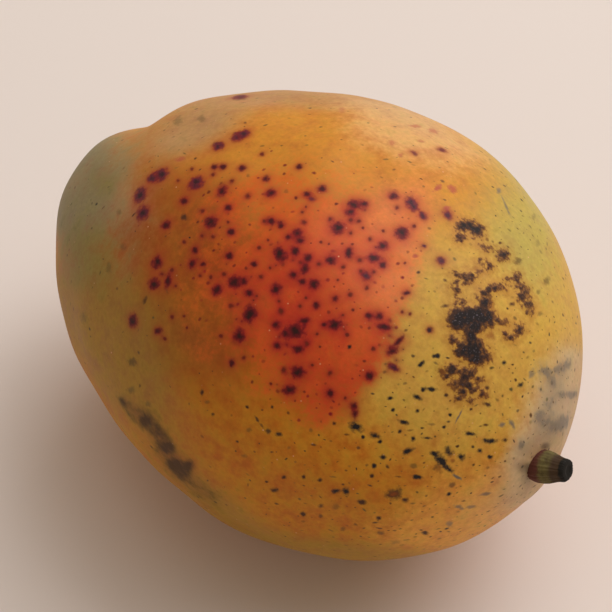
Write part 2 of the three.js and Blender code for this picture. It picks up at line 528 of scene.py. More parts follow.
# Where the skin was bruised or its pores burst in the red cheek: dark cores with red round them.
BLUSH_SPOTS = seen(
    (222, 191, 1.0, 0.7, 60), (211, 222, 1.1, 1.0), (280, 254, 1.4, 0.9, -55), (295, 331, 1.6, 1.2, 15),
    (304, 321, 0.9, 0.5, 5), (286, 334, 0.7, 0.6), (250, 314, 1.5, 1.0, 85), (239, 336, 1.1, 0.9, 80),
    (235, 282, 1.1, 1.0), (244, 281, 0.6, 0.6), (276, 289, 0.9, 0.8, 30), (249, 293, 0.7, 0.6),
    (335, 325, 1.1, 0.8), (324, 325, 0.5, 0.4), (338, 228, 1.1, 1.0), (354, 205, 1.0, 0.8),
    (364, 204, 0.8, 0.5, 5), (350, 212, 0.8, 0.6, 20), (374, 258, 1.0, 0.7), (331, 260, 0.8, 0.7),
    (349, 253, 1.0, 0.6, 85), (314, 284, 0.9, 0.8), (308, 258, 0.7, 0.6, 40), (297, 233, 0.8, 0.7),
    (300, 240, 0.7, 0.6), (288, 237, 0.5, 0.4), (295, 252, 0.6, 0.9), (305, 269, 0.8, 0.6, 85),
    (293, 275, 0.7, 0.6), (302, 282, 0.6, 0.5), (298, 349, 0.9, 0.6), (277, 346, 0.7, 0.6),
    (298, 372, 1.2, 0.9), (289, 390, 1.1, 0.7), (330, 393, 0.7, 0.6), (370, 376, 0.8, 0.7),
    (354, 406, 0.6, 0.6), (355, 414, 0.7, 0.5, 90), (369, 316, 0.6, 0.6), (379, 316, 0.6, 0.6),
    (384, 327, 1.1, 0.6, -12), (316, 305, 0.6, 0.6), (335, 299, 0.6, 0.5, 60), (276, 325, 0.7, 0.6),
    (402, 233, 1.1, 1.0), (393, 196, 0.8, 0.6), (383, 246, 0.8, 0.7), (383, 265, 0.6, 0.6),
    (407, 293, 0.7, 0.4, 10), (392, 351, 0.9, 0.7, 20), (399, 341, 1.4, 0.4, 45),
    (322, 189, 0.7, 0.6), (299, 167, 0.6, 0.5), (307, 194, 0.6, 0.5), (271, 193, 0.8, 0.7),
    (266, 179, 0.6, 0.6), (242, 168, 0.7, 0.6), (214, 167, 0.6, 0.5), (223, 167, 0.6, 0.6),
    (228, 208, 0.7, 0.6), (231, 232, 0.7, 0.6), (229, 256, 0.7, 0.6), (254, 264, 0.6, 0.5),
    (271, 221, 0.7, 0.6), (281, 225, 0.6, 0.6), (157, 262, 1.1, 0.9, 70), (154, 284, 1.0, 0.9),
    (168, 281, 1.1, 0.5, 80), (192, 264, 0.8, 0.6, 80), (203, 264, 0.5, 0.5), (217, 290, 0.9, 0.7, 50),
    (133, 321, 1.2, 0.8, 85), (158, 331, 0.8, 0.6), (166, 225, 0.8, 0.7, 40), (184, 201, 0.7, 0.6),
    (195, 250, 0.6, 0.6), (232, 363, 0.7, 0.5, 80),
)

# The smaller ones between them, each by its pixel and its radius in mm.
BLUSH_DOTS = seen(*((x, y, radius, radius) for x, y, radius in (
    (262, 154, 0.45), (232, 181, 0.4), (248, 196, 0.5), (296, 198, 0.3), (302, 212, 0.35), (306, 207, 0.25),
    (304, 222, 0.45), (264, 221, 0.35), (330, 219, 0.38), (351, 220, 0.38), (359, 221, 0.38),
    (351, 233, 0.35), (363, 228, 0.3), (383, 231, 0.3), (370, 239, 0.38), (321, 242, 0.3), (329, 244, 0.25),
    (397, 208, 0.35), (414, 226, 0.35), (360, 260, 0.4), (343, 267, 0.38), (367, 288, 0.38),
    (374, 272, 0.3), (361, 271, 0.3), (319, 264, 0.38), (261, 277, 0.45), (270, 268, 0.3), (259, 248, 0.38),
    (279, 301, 0.3), (281, 311, 0.5), (300, 306, 0.38), (306, 298, 0.3), (350, 295, 0.45), (231, 306, 0.45),
    (221, 336, 0.38), (244, 358, 0.38), (224, 274, 0.38), (211, 277, 0.38), (200, 276, 0.38),
    (172, 270, 0.38), (162, 274, 0.3), (176, 286, 0.3), (184, 242, 0.4), (202, 236, 0.4), (213, 237, 0.4),
    (202, 211, 0.45), (178, 181, 0.38), (192, 169, 0.38), (213, 175, 0.38), (165, 339, 0.38),
    (172, 317, 0.38), (184, 316, 0.3), (187, 328, 0.3), (307, 343, 0.45), (373, 349, 0.38),
    (347, 335, 0.38), (320, 347, 0.25), (317, 334, 0.3), (330, 373, 0.45), (284, 370, 0.45),
    (271, 384, 0.3), (345, 398, 0.3), (405, 263, 0.3), (402, 312, 0.38), (410, 314, 0.38), (343, 315, 0.3),
    (257, 296, 0.3), (228, 222, 0.3), (338, 280, 0.3), (353, 310, 0.3), (268, 240, 0.3), (312, 365, 0.3),
)))

# The same marks where less red lies over them: they look purple.
PLUM_SPOTS = seen(
    (218, 146, 1.0, 0.8, 20), (237, 137, 0.9, 0.8), (244, 134, 1.0, 0.7, 15), (161, 175, 1.4, 1.0, 40),
    (152, 178, 0.9, 0.7, 20), (196, 183, 1.4, 1.0, 35), (140, 195, 1.4, 1.0, 60), (143, 213, 1.4, 1.0, 60),
    (412, 204, 1.4, 0.8, -60), (423, 216, 0.9, 0.5, -50), (366, 276, 0.8, 0.7), (394, 368, 1.1, 0.5, -30),
    (414, 153, 0.7, 0.4, -40, 0.6), (442, 150, 1.0, 0.4, -15, 0.6), (448, 215, 0.9, 0.6, -50),
    (441, 261, 0.8, 0.6, -25), (424, 246, 0.5, 0.4), (430, 330, 0.5, 0.5),
    (240, 97, 1.4, 0.8, 0, 0.6), (312, 199, 0.6, 0.4, 0, 0.7),
)

# Dashes of faded red on the pale upper side.
ROSE_DASHES = seen(
    (415, 126, 1.3, 0.4, -5, 0.6), (433, 131, 1.1, 0.4, -15, 0.6), (421, 141, 0.8, 0.3, -10, 0.5),
    (392, 143, 0.8, 0.6, 0, 0.5), (401, 155, 0.7, 0.5, 0, 0.5), (342, 110, 0.8, 0.6, 0, 0.4),
    (438, 188, 0.9, 0.6, 40, 0.8), (453, 189, 1.0, 0.7, -30, 0.8), (447, 208, 0.7, 0.5, 0, 0.7),
    (180, 159, 1.1, 0.5, 10, 0.6), (416, 256, 0.7, 0.4, 0, 0.8),
)

# Dark flecks and dashes on the yellow skin, where sap has dried or the wind has rubbed it.
SOOT_FLECKS = seen(
    (356, 427, 1.2, 0.8, -15), (375, 436, 0.9, 0.5, -15), (346, 491, 0.8, 0.6, -60), (336, 491, 0.8, 0.4),
    (408, 451, 1.0, 0.5, 25), (404, 422, 1.1, 0.4, -10), (431, 389, 1.3, 0.4, -4), (423, 390, 0.4, 0.4),
    (417, 397, 0.9, 0.4, -25), (421, 364, 0.8, 0.4, 40), (434, 356, 0.4, 0.4), (438, 356, 0.4, 0.4),
    (470, 434, 1.1, 0.4, -8), (490, 441, 1.2, 0.5), (427, 438, 0.9, 0.25, -5), (417, 477, 1.1, 0.4, -5),
    (434, 454, 0.7, 0.5, -50), (441, 461, 1.5, 0.85, -55), (448, 468, 1.2, 0.45, -45),
    (449, 452, 0.9, 0.75, -60), (461, 457, 0.75, 0.65), (487, 404, 0.7, 0.4, -20), (484, 395, 0.8, 0.4, -60),
    (521, 385, 0.5, 0.5), (460, 238, 0.9, 0.7, 30), (132, 362, 0.8, 0.8, 0, 0.55), (383, 457, 0.6, 0.4),
    (184, 217, 0.65, 0.65, 0, 0.75), (393, 410, 0.35, 0.35), (417, 411, 0.4, 0.35), (413, 439, 0.5, 0.4, 60),
    (350, 347, 0.4, 0.4), (492, 361, 0.6, 0.16, -70, 0.7), (450, 415, 0.3, 0.3), (446, 395, 0.4, 0.3),
    (471, 409, 0.3, 0.25), (540, 314, 0.5, 0.4, 0, 0.45), (538, 292, 0.4, 0.4, 0, 0.5),
    (538, 243, 0.4, 0.6, 0, 0.35), (534, 217, 0.4, 0.7, 0, 0.35), (422, 428, 0.4, 0.25), (444, 427, 0.3, 0.3),
    (400, 431, 0.35, 0.35), (380, 442, 0.4, 0.35), (363, 437, 0.3, 0.3), (390, 398, 0.5, 0.35),
    (449, 494, 0.4, 0.35), (452, 485, 0.6, 0.4, 20, 0.6), (480, 451, 0.45, 0.4), (490, 457, 0.5, 0.4),
    (504, 363, 0.4, 0.45), (487, 388, 0.4, 0.4), (453, 340, 0.7, 0.6, 0, 0.8), (430, 330, 0.5, 0.5, 0, 0.9),
    (321, 506, 0.45, 0.4, 0, 0.7), (336, 507, 0.7, 0.6, 0, 0.4), (381, 533, 0.7, 0.35, 0, 0.6),
    (343, 529, 0.5, 0.4, 0, 0.5), (374, 466, 0.4, 0.45), (505, 334, 0.5, 0.3, -40), (473, 447, 0.3, 0.3),
    (257, 419, 0.6, 0.25, -60, 0.8), (262, 426, 0.6, 0.22, -50, 0.6), (268, 431, 0.55, 0.4, -30, 0.8),
    (278, 434, 0.6, 0.4, -10, 0.9), (321, 516, 0.4, 0.35, 0, 0.6), (395, 542, 0.8, 0.4, 0, 0.35),
)

# Brown scabs and specks on the lower side.
UMBER_FLECKS = seen(
    (394, 494, 1.6, 1.1, 5), (405, 500, 0.6, 0.5), (436, 467, 0.7, 0.5, 60, 0.6),
    (362, 502, 1.0, 0.55, -10), (372, 476, 0.4, 0.4),
    (445, 306, 0.7, 0.4), (304, 477, 0.4, 0.4), (320, 480, 0.5, 0.4), (284, 477, 0.5, 0.4),
    (275, 490, 0.7, 0.5), (303, 514, 0.6, 0.5), (247, 407, 0.4, 0.35), (272, 407, 0.4, 0.35),
    (202, 392, 0.7, 0.4, 80), (379, 518, 0.5, 0.4), (425, 533, 0.6, 0.4), (505, 440, 0.5, 0.45),
    (145, 300, 0.9, 0.4, 65, 0.8), (518, 261, 0.8, 0.7, 0, 0.7), (547, 281, 0.9, 0.7, 60, 0.6),
    (442, 372, 0.95, 0.6, -30), (334, 423, 0.45, 0.4), (500, 243, 0.35, 0.35),
    (490, 266, 0.6, 0.5), (512, 304, 0.5, 0.4),
)

# The lighter middle of the scab, and the red skin round the torn scratch.
RUST_PATCHES = seen(
    (394, 494, 0.8, 0.45, 5), (439, 469, 0.9, 0.6, -50, 0.6), (453, 461, 0.5, 0.4, 0, 0.7),
    (491, 336, 0.9, 0.8, 0, 0.6), (492, 305, 0.7, 1.2, 0, 0.5), (476, 268, 1.0, 0.6, 0, 0.4),
)

# Faint spots, deep in the skin of the left side and the tip.
FAINT_SPOTS = seen(
    (131, 390, 0.8, 0.7, 0, 0.5), (148, 404, 0.7, 0.6, 0, 0.5), (84, 317, 0.8, 1.1, 0, 0.4),
    (109, 268, 0.6, 1.3, 0, 0.4), (123, 247, 0.7, 0.7, 0, 0.4), (178, 121, 0.9, 1.2, -30, 0.4),
    (202, 119, 0.9, 0.7, -30, 0.4), (119, 212, 0.6, 0.6, 0, 0.4), (286, 191, 0.4, 0.4, 0, 0.4),
    (248, 176, 0.4, 0.4, 0, 0.5), (249, 430, 0.5, 0.4, 0, 0.5), (244, 456, 0.5, 0.4, 0, 0.5),
    (289, 448, 0.4, 0.4, 0, 0.5), (311, 430, 0.4, 0.4, 0, 0.5), (207, 402, 0.5, 0.4, 0, 0.5),
    (414, 466, 0.7, 0.5, 0, 0.6),
)

# Grey smudges beside the stem and thin grey lines that twigs have left.
ASH_SMUDGES = seen(
    (502, 425, 0.6, 0.5, 0, 0.9), (512, 424, 0.9, 0.4, -60, 0.9),
    (459, 507, 1.0, 0.4, -15, 0.8), (471, 507, 1.2, 0.3, 5, 0.7), (485, 494, 1.2, 0.35, 12, 0.8),
    (449, 524, 0.7, 0.6, 0, 0.7), (506, 206, 2.4, 0.22, -66, 0.8), (499, 191, 0.6, 0.5, -60, 0.8),
    (459, 416, 1.5, 0.16, 62), (457, 477, 1.0, 0.3, -30),
)

# The sooty crust: blots that run together, from the top of the chain down to its broken tail.
CRUST_BLOTS = seen(
    (464, 226, 1.35, 0.95, 10), (470, 227, 1.3, 0.95, -15), (476, 230, 1.5, 1.1, -35), (460, 238, 0.8, 0.7),
    (485, 248, 0.8, 0.45, -20, 0.65), (491, 249, 0.5, 0.35, 0, 0.65), (503, 255, 1.05, 0.95, 0, 0.9),
    (490, 267, 0.5, 0.45, 0, 0.75), (482, 262, 0.6, 0.5, 0, 0.6), (516, 278, 0.7, 0.8, 0, 0.85),
    (508, 279, 0.6, 0.35, 20, 0.65), (520, 287, 0.65, 0.5, 0, 0.75), (521, 297, 0.85, 0.7, -40, 0.8),
    (527, 303, 0.9, 0.75, -40, 0.8), (524, 291, 1.3, 0.8, -55, 0.66), (530, 309, 0.6, 0.9, 0, 0.65),
    (468, 278, 1.0, 0.95), (459, 274, 1.0, 0.45, 0, 0.66), (473, 278, 0.6, 0.4, 45, 0.7),
    (478, 273, 0.8, 0.28, 50, 0.8), (457, 290, 0.55, 0.65, 0, 0.8), (454, 283, 0.6, 0.4, 60, 0.62),
    (491, 289, 1.4, 0.65, 25, 0.76), (484, 294, 1.1, 0.85, 60, 0.8), (497, 287, 0.6, 0.5, 0, 0.74),
    (503, 288, 0.6, 0.35, -30, 0.66), (485, 303, 1.1, 1.0, 80, 0.9), (460, 302, 0.7, 0.45, 0, 0.64),
    (460, 319, 2.2, 1.95, 10), (470, 316, 2.3, 1.6, 0), (480, 316, 2.1, 1.75, -10), (488, 319, 1.35, 1.35),
    (474, 326, 1.9, 1.4), (498, 321, 1.2, 0.5, -8, 0.9), (505, 322, 0.6, 0.4, -20, 0.75),
    (471, 335, 1.2, 1.6), (463, 350, 1.5, 1.5), (473, 349, 1.9, 1.9), (476, 358, 1.9, 1.25, -10, 0.95),
    (484, 355, 1.1, 1.2, 0, 0.74), (454, 340, 0.75, 0.65, 0, 0.72), (505, 335, 0.9, 0.3, -50, 0.75),
    (512, 338, 0.65, 0.5, 0, 0.75), (519, 329, 0.7, 0.8, 0, 0.75), (452, 370, 1.15, 0.95, 0, 0.82),
    (460, 371, 0.9, 0.6, 0, 0.72), (469, 373, 1.1, 0.75, 20, 0.82), (464, 378, 1.1, 0.95, 0, 0.76),
    (454, 385, 0.75, 0.6, 0, 0.8), (465, 384, 1.3, 0.95, -15, 0.84), (473, 389, 0.9, 0.65, 0, 0.78),
    (462, 391, 0.75, 1.1, 10, 0.84), (458, 398, 0.5, 0.65, 30, 0.75), (478, 380, 0.65, 0.45, 0, 0.64),
    (447, 376, 0.5, 0.35, 0, 0.64), (483, 394, 0.5, 0.65, 30, 0.75), (471, 401, 0.42, 0.38, 0, 0.85),
)

# The russet streak low on the side of the tip.
RUSSET_PATCHES = seen(
    (124, 402, 1.1, 0.7, -45, 0.6), (135, 411, 1.8, 1.2, -40, 0.55), (147, 421, 1.6, 1.2, -45, 0.85),
    (159, 434, 1.6, 1.1, -50, 0.75), (167, 448, 1.1, 1.1, 0, 1.0), (176, 464, 1.5, 1.3, -40, 1.0),
    (190, 465, 0.9, 0.9, 0, 0.95), (183, 474, 1.4, 1.1, -40, 0.8), (165, 455, 3.4, 1.8, -50, 0.35),
    (196, 486, 2.4, 1.2, -40, 0.4), (209, 494, 2.4, 1.1, -32, 0.3),
)

# Flecks and a scratch of the same kinds on the far side and below, where the photo shows nothing.
FAR_FLECKS = grown(
    (58, 22, 0.8, 0.5, 20), (66, 4, 1.1, 0.6, -20), (69, 0, 0.5, 0.4), (76, 16, 0.7, 0.5, 30),
    (84, -14, 1.3, 0.8, 40), (87, -18, 0.6, 0.5), (94, 8, 0.8, 0.4, -40), (103, 20, 0.5, 0.5),
    (108, -2, 1.4, 0.7, 15), (112, -5, 0.6, 0.4), (118, 9, 0.6, 0.5), (127, -12, 1.0, 0.6, -30),
    (133, 3, 0.6, 0.5), (144, -16, 0.9, 0.5, 25), (70, -30, 0.9, 0.6), (98, -34, 1.2, 0.6, 35),
    (121, -30, 0.7, 0.5), (48, -22, 0.8, 0.5, -15), (35, -36, 1.0, 0.5, 10), (-30, -48, 0.9, 0.6),
    (-70, -46, 0.8, 0.5), (-120, -42, 1.1, 0.6, 20), (-160, -30, 0.8, 0.5), (170, -12, 0.7, 0.5),
    (102, -12, 3.4, 0.16, 35, 0.7),
)

# Where random specks lie thickest on the yellow side.
SPECKLED = seen((470, 420, 18, 15), (490, 300, 12, 18), (390, 485, 17, 10))

# How many layers of marks the skin carries. Marks of one layer keep clear of each other.
LAYERS = 3


@dataclass(frozen=True)
class Fleck:
    """One mark in place on the skin, in metres."""

    middle: np.ndarray
    along: np.ndarray
    across: np.ndarray
    long: float
    wide: float
    colour: tuple[float, ...]
    strength: float

    @property
    def size(self) -> float:
        """The radius of the round mark that covers as much, in mm."""
        return math.sqrt(self.long * self.wide)


@dataclass
class Fruit:
    """The whole fruit: its fine skin, and where each colour and mark lies on it.

    The mesh, its points, the tree that finds the nearest of them, and how strong the blush is at each
    are kept as they are made.
    """

    view: PhotoView
    form: FruitForm
    rings: int = 304
    around: int = 320
    pole_crowding: float = 0.4
    lump_count: int = 36
    lump_height_mm: float = 0.16
    lump_sizes_mm: tuple[float, float] = (9.0, 26.0)
    crust_height_mm: float = 0.12
    crust_slope_mm: tuple[float, float] = (-0.6, 0.2)
    crust_far_mm: float = 20.0
    weak_crust_mm: float = 3.0
    full_crust_mm: float = 1.2
    halo_most: float = 0.92
    halo_gain: float = 1.15
    halo_reach_mm: float = 0.5
    halo_spread: float = 1.5
    speck_count: int = 2400
    speck_radii_mm: tuple[float, float] = (0.14, 0.42)
    speck_share: float = 0.2
    speck_share_blush: float = 0.8
    speck_share_yellow: float = 1.5
    speck_shift_mm: float = 0.3
    speck_gap_mm: float = 0.35
    speck_shades: tuple[float, float] = (0.7, 1.6)
    speck_strengths: tuple[float, float] = (0.35, 1.0)
    speck_turn: float = 35.0
    red_from: float = 0.25
    clear_mm: float = 1.1
    sap_swell: float = 1.1
    out_of_reach: float = 9.0
    chunks: int = 24
    seed: int = 41
    flecks: list[Fleck] = field(default_factory=list)
    mesh: bpy.types.Mesh = field(init=False)
    points: np.ndarray = field(init=False)
    tree: BVHTree = field(init=False)
    blush: np.ndarray = field(init=False)

    def lumps(self, u: np.ndarray, draw: np.random.Generator) -> np.ndarray:
        """Low uneven swells of the flesh under the skin: a sum of plane waves through the fruit.

        Args:
            u: unit directions from the fruit's middle.
            draw: the seeded source of the waves' ways, lengths and phases.

        Returns:
            One height for each direction, in mm.
        """
        ways = unit(draw.normal(size=(self.lump_count, 3)))
        lengths = draw.uniform(*self.lump_sizes_mm, size=self.lump_count)
        phases = draw.uniform(0.0, 2.0 * math.pi, size=self.lump_count)
        reach = (self.form.half_length + self.form.half_width) / 2
        total = np.zeros(u.shape[:-1])
        for way, length, phase in zip(ways, lengths, phases):
            total += length * np.sin(2.0 * math.pi * reach / length * (u @ way) + phase)
        return self.lump_height_mm * total / (sum(self.lump_sizes_mm) / 2 * math.sqrt(self.lump_count / 2))

    def build(self) -> bpy.types.Object:
        """Makes the skin as rings from the stem end to the tip, closed at both, flat where it rests.

        The angle of a ring from the stem end grows evenly, less a sine that crowds the rings at both
        poles. A point under the level that the fruit rests on is lifted to it.

        Returns:
            The fruit's object.
        """
        draw = np.random.default_rng(self.seed)
        share = np.arange(1, self.rings) / self.rings
        angle = np.pi * (share - self.pole_crowding * np.sin(2 * np.pi * share) / (2 * np.pi))
        turn = 2 * np.pi * np.arange(self.around) / self.around
        slant = np.sin(angle)[:, None]
        rings = np.stack(
            [np.broadcast_to(np.cos(angle)[:, None], (len(angle), len(turn))),
             slant * np.cos(turn), slant * np.sin(turn)],
            axis=-1,
        )
        u = np.vstack([[[1.0, 0.0, 0.0]], rings.reshape(-1, 3), [[-1.0, 0.0, 0.0]]])
        points = self.form.lay(self.form.skin(u) + u * self.lumps(u, draw)[:, None])
        points[:, 2] = np.maximum(points[:, 2], 0.0)
        fruit = closed_surface("mango_fruit", points[0], points[1:-1].reshape(rings.shape), points[-1])
        self.mesh = fruit.data
        self.points = points
        self.tree = BVHTree.FromPolygons(points.tolist(), [list(p.vertices) for p in self.mesh.polygons])
        return fruit

    def locate(self, place: Seen | Grown) -> tuple[np.ndarray, np.ndarray]:
        """Finds a place on the skin: where the photo's ray meets it, or where its direction does.

        Args:
            place: the place, as seen in the photo or as grown.

        Returns:
            The point, and the skin's outward normal there.
        """
        if isinstance(place, Seen):
            start = self.view.axes[0]
            point, normal, _, _ = self.tree.ray_cast(
                Vector(start.tolist()), Vector(self.view.ray(place.x, place.y).tolist())
            )
            if point is None:
                raise ValueError(f"no skin at {place}")
        else:
            on_skin = self.form.lay(self.form.skin(direction(place.lon, place.lat)[None]))[0]
            point, normal, _, _ = self.tree.find_nearest(Vector(on_skin.tolist()))
        return np.array(point), np.array(normal)

    def axes_at(
        self, place: Seen | Grown | None, normal: np.ndarray, turn: float
    ) -> tuple[np.ndarray, np.ndarray]:
        """The ways along and across a patch.

        Args:
            place: where the patch is; one that the photo shows has its axes across the line of sight,
                and any other, or None for a speck, has them on the skin.
            normal: the skin's outward normal there.
            turn: the patch's turn from the photo's horizontal, in degrees.

        Returns:
            The two ways, at a right angle to each other.
        """
        _, right, up, _ = self.view.axes
        slant = math.radians(turn)
        way = math.cos(slant) * right + math.sin(slant) * up
        sight = self.view.ray(place.x, place.y) if isinstance(place, Seen) else -normal
        along = unit(way - sight * (way @ sight))
        return along, np.cross(along, sight)

    def patch_field(self, patch: Patch) -> np.ndarray:
        """How strong a soft patch is at each vertex: a hill in its long, wide and inward axes.

        It is half its strength at the ends of its axes, and the inward one is the mean of the others.

        Args:
            patch: the patch.

        Returns:
            One number for each vertex.
        """
        middle, normal = self.locate(patch.place)
        along, across = self.axes_at(patch.place, normal, patch.turn)
        offset = (self.points - middle) / MM
        inward = (patch.long + patch.wide) / 2
        square = (
            (offset @ along / patch.long) ** 2
            + (offset @ across / patch.wide) ** 2
            + (offset @ normal / inward) ** 2
        )
        return patch.strength * np.exp(-square * math.log(2.0))

    def union(self, patches: tuple[Patch, ...]) -> np.ndarray:
        """How strong several patches are together at each vertex: 1 less the product of what each leaves."""
        return 1.0 - np.prod([1.0 - self.patch_field(patch) for patch in patches], axis=0)

    def edge_field(self, start: Seen, end: Seen, soft: float) -> np.ndarray:
        """A step at each vertex from 1 inside a line on the skin to 0 outside it.

        The line lies in the plane through its two ends and the fruit's middle, and its inner side is on
        the right of the way from start to end.

        Args:
            start: one end of the line.
            end: its other end.
            soft: half the width of the step, in mm.

        Returns:
            One number for each vertex.
        """
        first, second = self.locate(start)[0], self.locate(end)[0]
        inner = unit(np.cross(second - self.view.middle, first - self.view.middle))
        depth = (self.points - self.view.middle) @ inner / MM
        return ease(depth, -soft, soft)

    def colour(self) -> None:
        """Stores how strong each zone's colour is at each vertex, and the marks' own soft fields."""
        fields = {zone.name: self.union(zone.patches) for zone in ZONES}
        inside = np.prod([self.edge_field(*edge) for edge in BLUSH_EDGES], axis=0)
        for name in ("blush", "salmon", "crimson"):
            fields[name] = fields[name] * inside
        for name, values in fields.items():
            store(self.mesh, name, values)
        self.blush = fields["blush"]
        store(self.mesh, "russet", self.union(RUSSET_PATCHES))

    def crust(self) -> None:
        """Stores how far each vertex lies outside the sooty crust, in mm, and raises the skin under it.

        A blot's distance is how far the point's scaled offset is beyond 1, times the blot's size, and
        the crust's is the least of its blots'. A weak blot stays thin: it has a least distance, which
        grows evenly as its strength falls.
        """
        nearest = np.full(len(self.points), np.inf)
        for patch in CRUST_BLOTS:
            middle, normal = self.locate(patch.place)
            along, across = self.axes_at(patch.place, normal, patch.turn)
            offset = (self.points - middle) / MM
            scaled = np.sqrt(
                (offset @ along / patch.long) ** 2
                + (offset @ across / patch.wide) ** 2
                + (offset @ normal / patch.wide) ** 2
            )
            beyond = (scaled - 1.0) * math.sqrt(patch.long * patch.wide)
            least = self.weak_crust_mm * (1.0 - patch.strength) - self.full_crust_mm
            nearest = np.minimum(nearest, np.maximum(beyond, least))
        store(self.mesh, "crust", np.minimum(nearest, self.crust_far_mm))
        lift = self.crust_height_mm * MM * ease(-nearest, *self.crust_slope_mm)
        outward = unit(self.points - self.view.middle)
        raised = self.points + outward * lift[:, None]
        self.mesh.vertices.foreach_set("co", raised.astype(np.float32).ravel())

    def place_fleck(self, patch: Patch, tone: Tone) -> Fleck:
        """Puts one crisp mark on the skin; dried sap has spread by its swell past the patch.

        Args:
            patch: the mark's place and size.
            tone: what it is made of.

        Returns:
            The mark in place.
        """
        middle, normal = self.locate(patch.place)
        along, across = self.axes_at(patch.place, normal, patch.turn)
        swell = self.sap_swell if tone is Tone.SOOT else 1.0
        tint = linear(tone.value)[:3]
        return Fleck(middle, along, across, swell * patch.long, swell * patch.wide, tint, patch.strength)

    def halo(self, spots: list[Fleck]) -> None:
        """Stores the red that spreads round the dark spots: 1 less the product of what each hill leaves.

        Args:
            spots: the dark spots.
        """
        rest = np.ones(len(self.points))
        for spot in spots:
            gap = np.linalg.norm(self.points - spot.middle, axis=1) / MM
            red = min(self.halo_most, self.halo_gain * spot.size)
            rest *= 1.0 - red * hill(gap, self.halo_reach_mm + self.halo_spread * spot.size)
        store(self.mesh, "halo", 1.0 - rest)

    def mark(self) -> None:
        """Places the marks of the photo and then the specks that a rule spreads over the whole skin."""
        families = (
            (BLUSH_SPOTS, Tone.MAROON),
            (PLUM_SPOTS, Tone.PLUM),
            (BLUSH_DOTS, Tone.BRICK),
            (ROSE_DASHES, Tone.ROSE),
            (SOOT_FLECKS, Tone.SOOT),
            (UMBER_FLECKS, Tone.UMBER),
            (FAINT_SPOTS, Tone.OLIVE),
            (RUST_PATCHES, Tone.RUST),
            (ASH_SMUDGES, Tone.ASH),
            (FAR_FLECKS, Tone.UMBER),
        )
        for patches, tone in families:
            self.flecks += [self.place_fleck(patch, tone) for patch in patches]
        self.halo(self.flecks[:len(BLUSH_SPOTS) + len(PLUM_SPOTS) + len(BLUSH_DOTS)])
        self.scatter_specks()
        self.store_flecks()

    def scatter_specks(self) -> None:
        """Spreads small specks at random over the skin, seeded, and denser in the blush and the yellow.

        A speck starts at a vertex drawn by the area round it and by how thick the specks lie there. One
        that would fall too close to a mark that is there already is left out. Its size is the chance
        raised to a power, so that most are small, and more so outside the blush.
        """
        draw = np.random.default_rng(self.seed + 1)
        thick = (
            self.speck_share
            + self.speck_share_blush * self.blush
            + self.speck_share_yellow * self.union(SPECKLED)
        )
        ring = np.repeat(np.arange(1, self.rings) / self.rings, self.around)
        area = np.concatenate([[0.0], np.sin(np.pi * ring), [0.0]])
        share = thick * area
        picks = draw.choice(len(self.points), size=self.speck_count, p=share / share.sum(), replace=False)
        middles = np.array([f.middle for f in self.flecks])
        sizes = np.array([f.size for f in self.flecks])
        low, high = self.speck_radii_mm
        for pick in picks:
            point = self.points[pick] + draw.normal(scale=self.speck_shift_mm * MM, size=3)
            nearest, normal, _, _ = self.tree.find_nearest(Vector(point.tolist()))
            middle, normal = np.array(nearest), np.array(normal)
            chance = draw.random()
            red = self.blush[pick] * draw.uniform(0.6, 1.4) > self.red_from
            size = low + (high - low) * chance ** (1.2 if red else 2.2)
            gaps = np.linalg.norm(middles - middle, axis=1) / MM - sizes - size
            tone = draw.choice([Tone.BRICK, Tone.CRIMSON] if red else [Tone.UMBER, Tone.SOOT, Tone.OLIVE])
            shade = draw.uniform(*self.speck_shades)
            strength = draw.uniform(*self.speck_strengths)
            slim = draw.uniform(0.85, 1.0) if red else draw.uniform(0.6, 1.0)
            turn = draw.normal(scale=self.speck_turn)
            if gaps.min() < self.speck_gap_mm:
                continue
            along, across = self.axes_at(None, normal, turn)
            tint = tuple(shade * c for c in linear(tone.value)[:3])
            self.flecks.append(Fleck(middle, along, across, size / slim, size * slim, tint, strength))
            middles = np.vstack([middles, middle])
            sizes = np.append(sizes, size)

    def split_layers(self) -> list[list[Fleck]]:
        """Sorts the marks into layers, so that marks of one layer keep clear of each other.

        A mark joins the first layer where it has room, or the last one if none has.

        Returns:
            The marks of each layer.
        """
        layers: list[list[Fleck]] = [[] for _ in range(LAYERS)]
        for mark in self.flecks:
            for layer in layers:
                gaps = [
                    np.linalg.norm(other.middle - mark.middle) / MM
                    - max(other.long, other.wide)
                    - max(mark.long, mark.wide)
                    for other in layer
                ]
                if layer is layers[-1] or min(gaps, default=math.inf) > self.clear_mm:
                    layer.append(mark)
                    break
        return layers

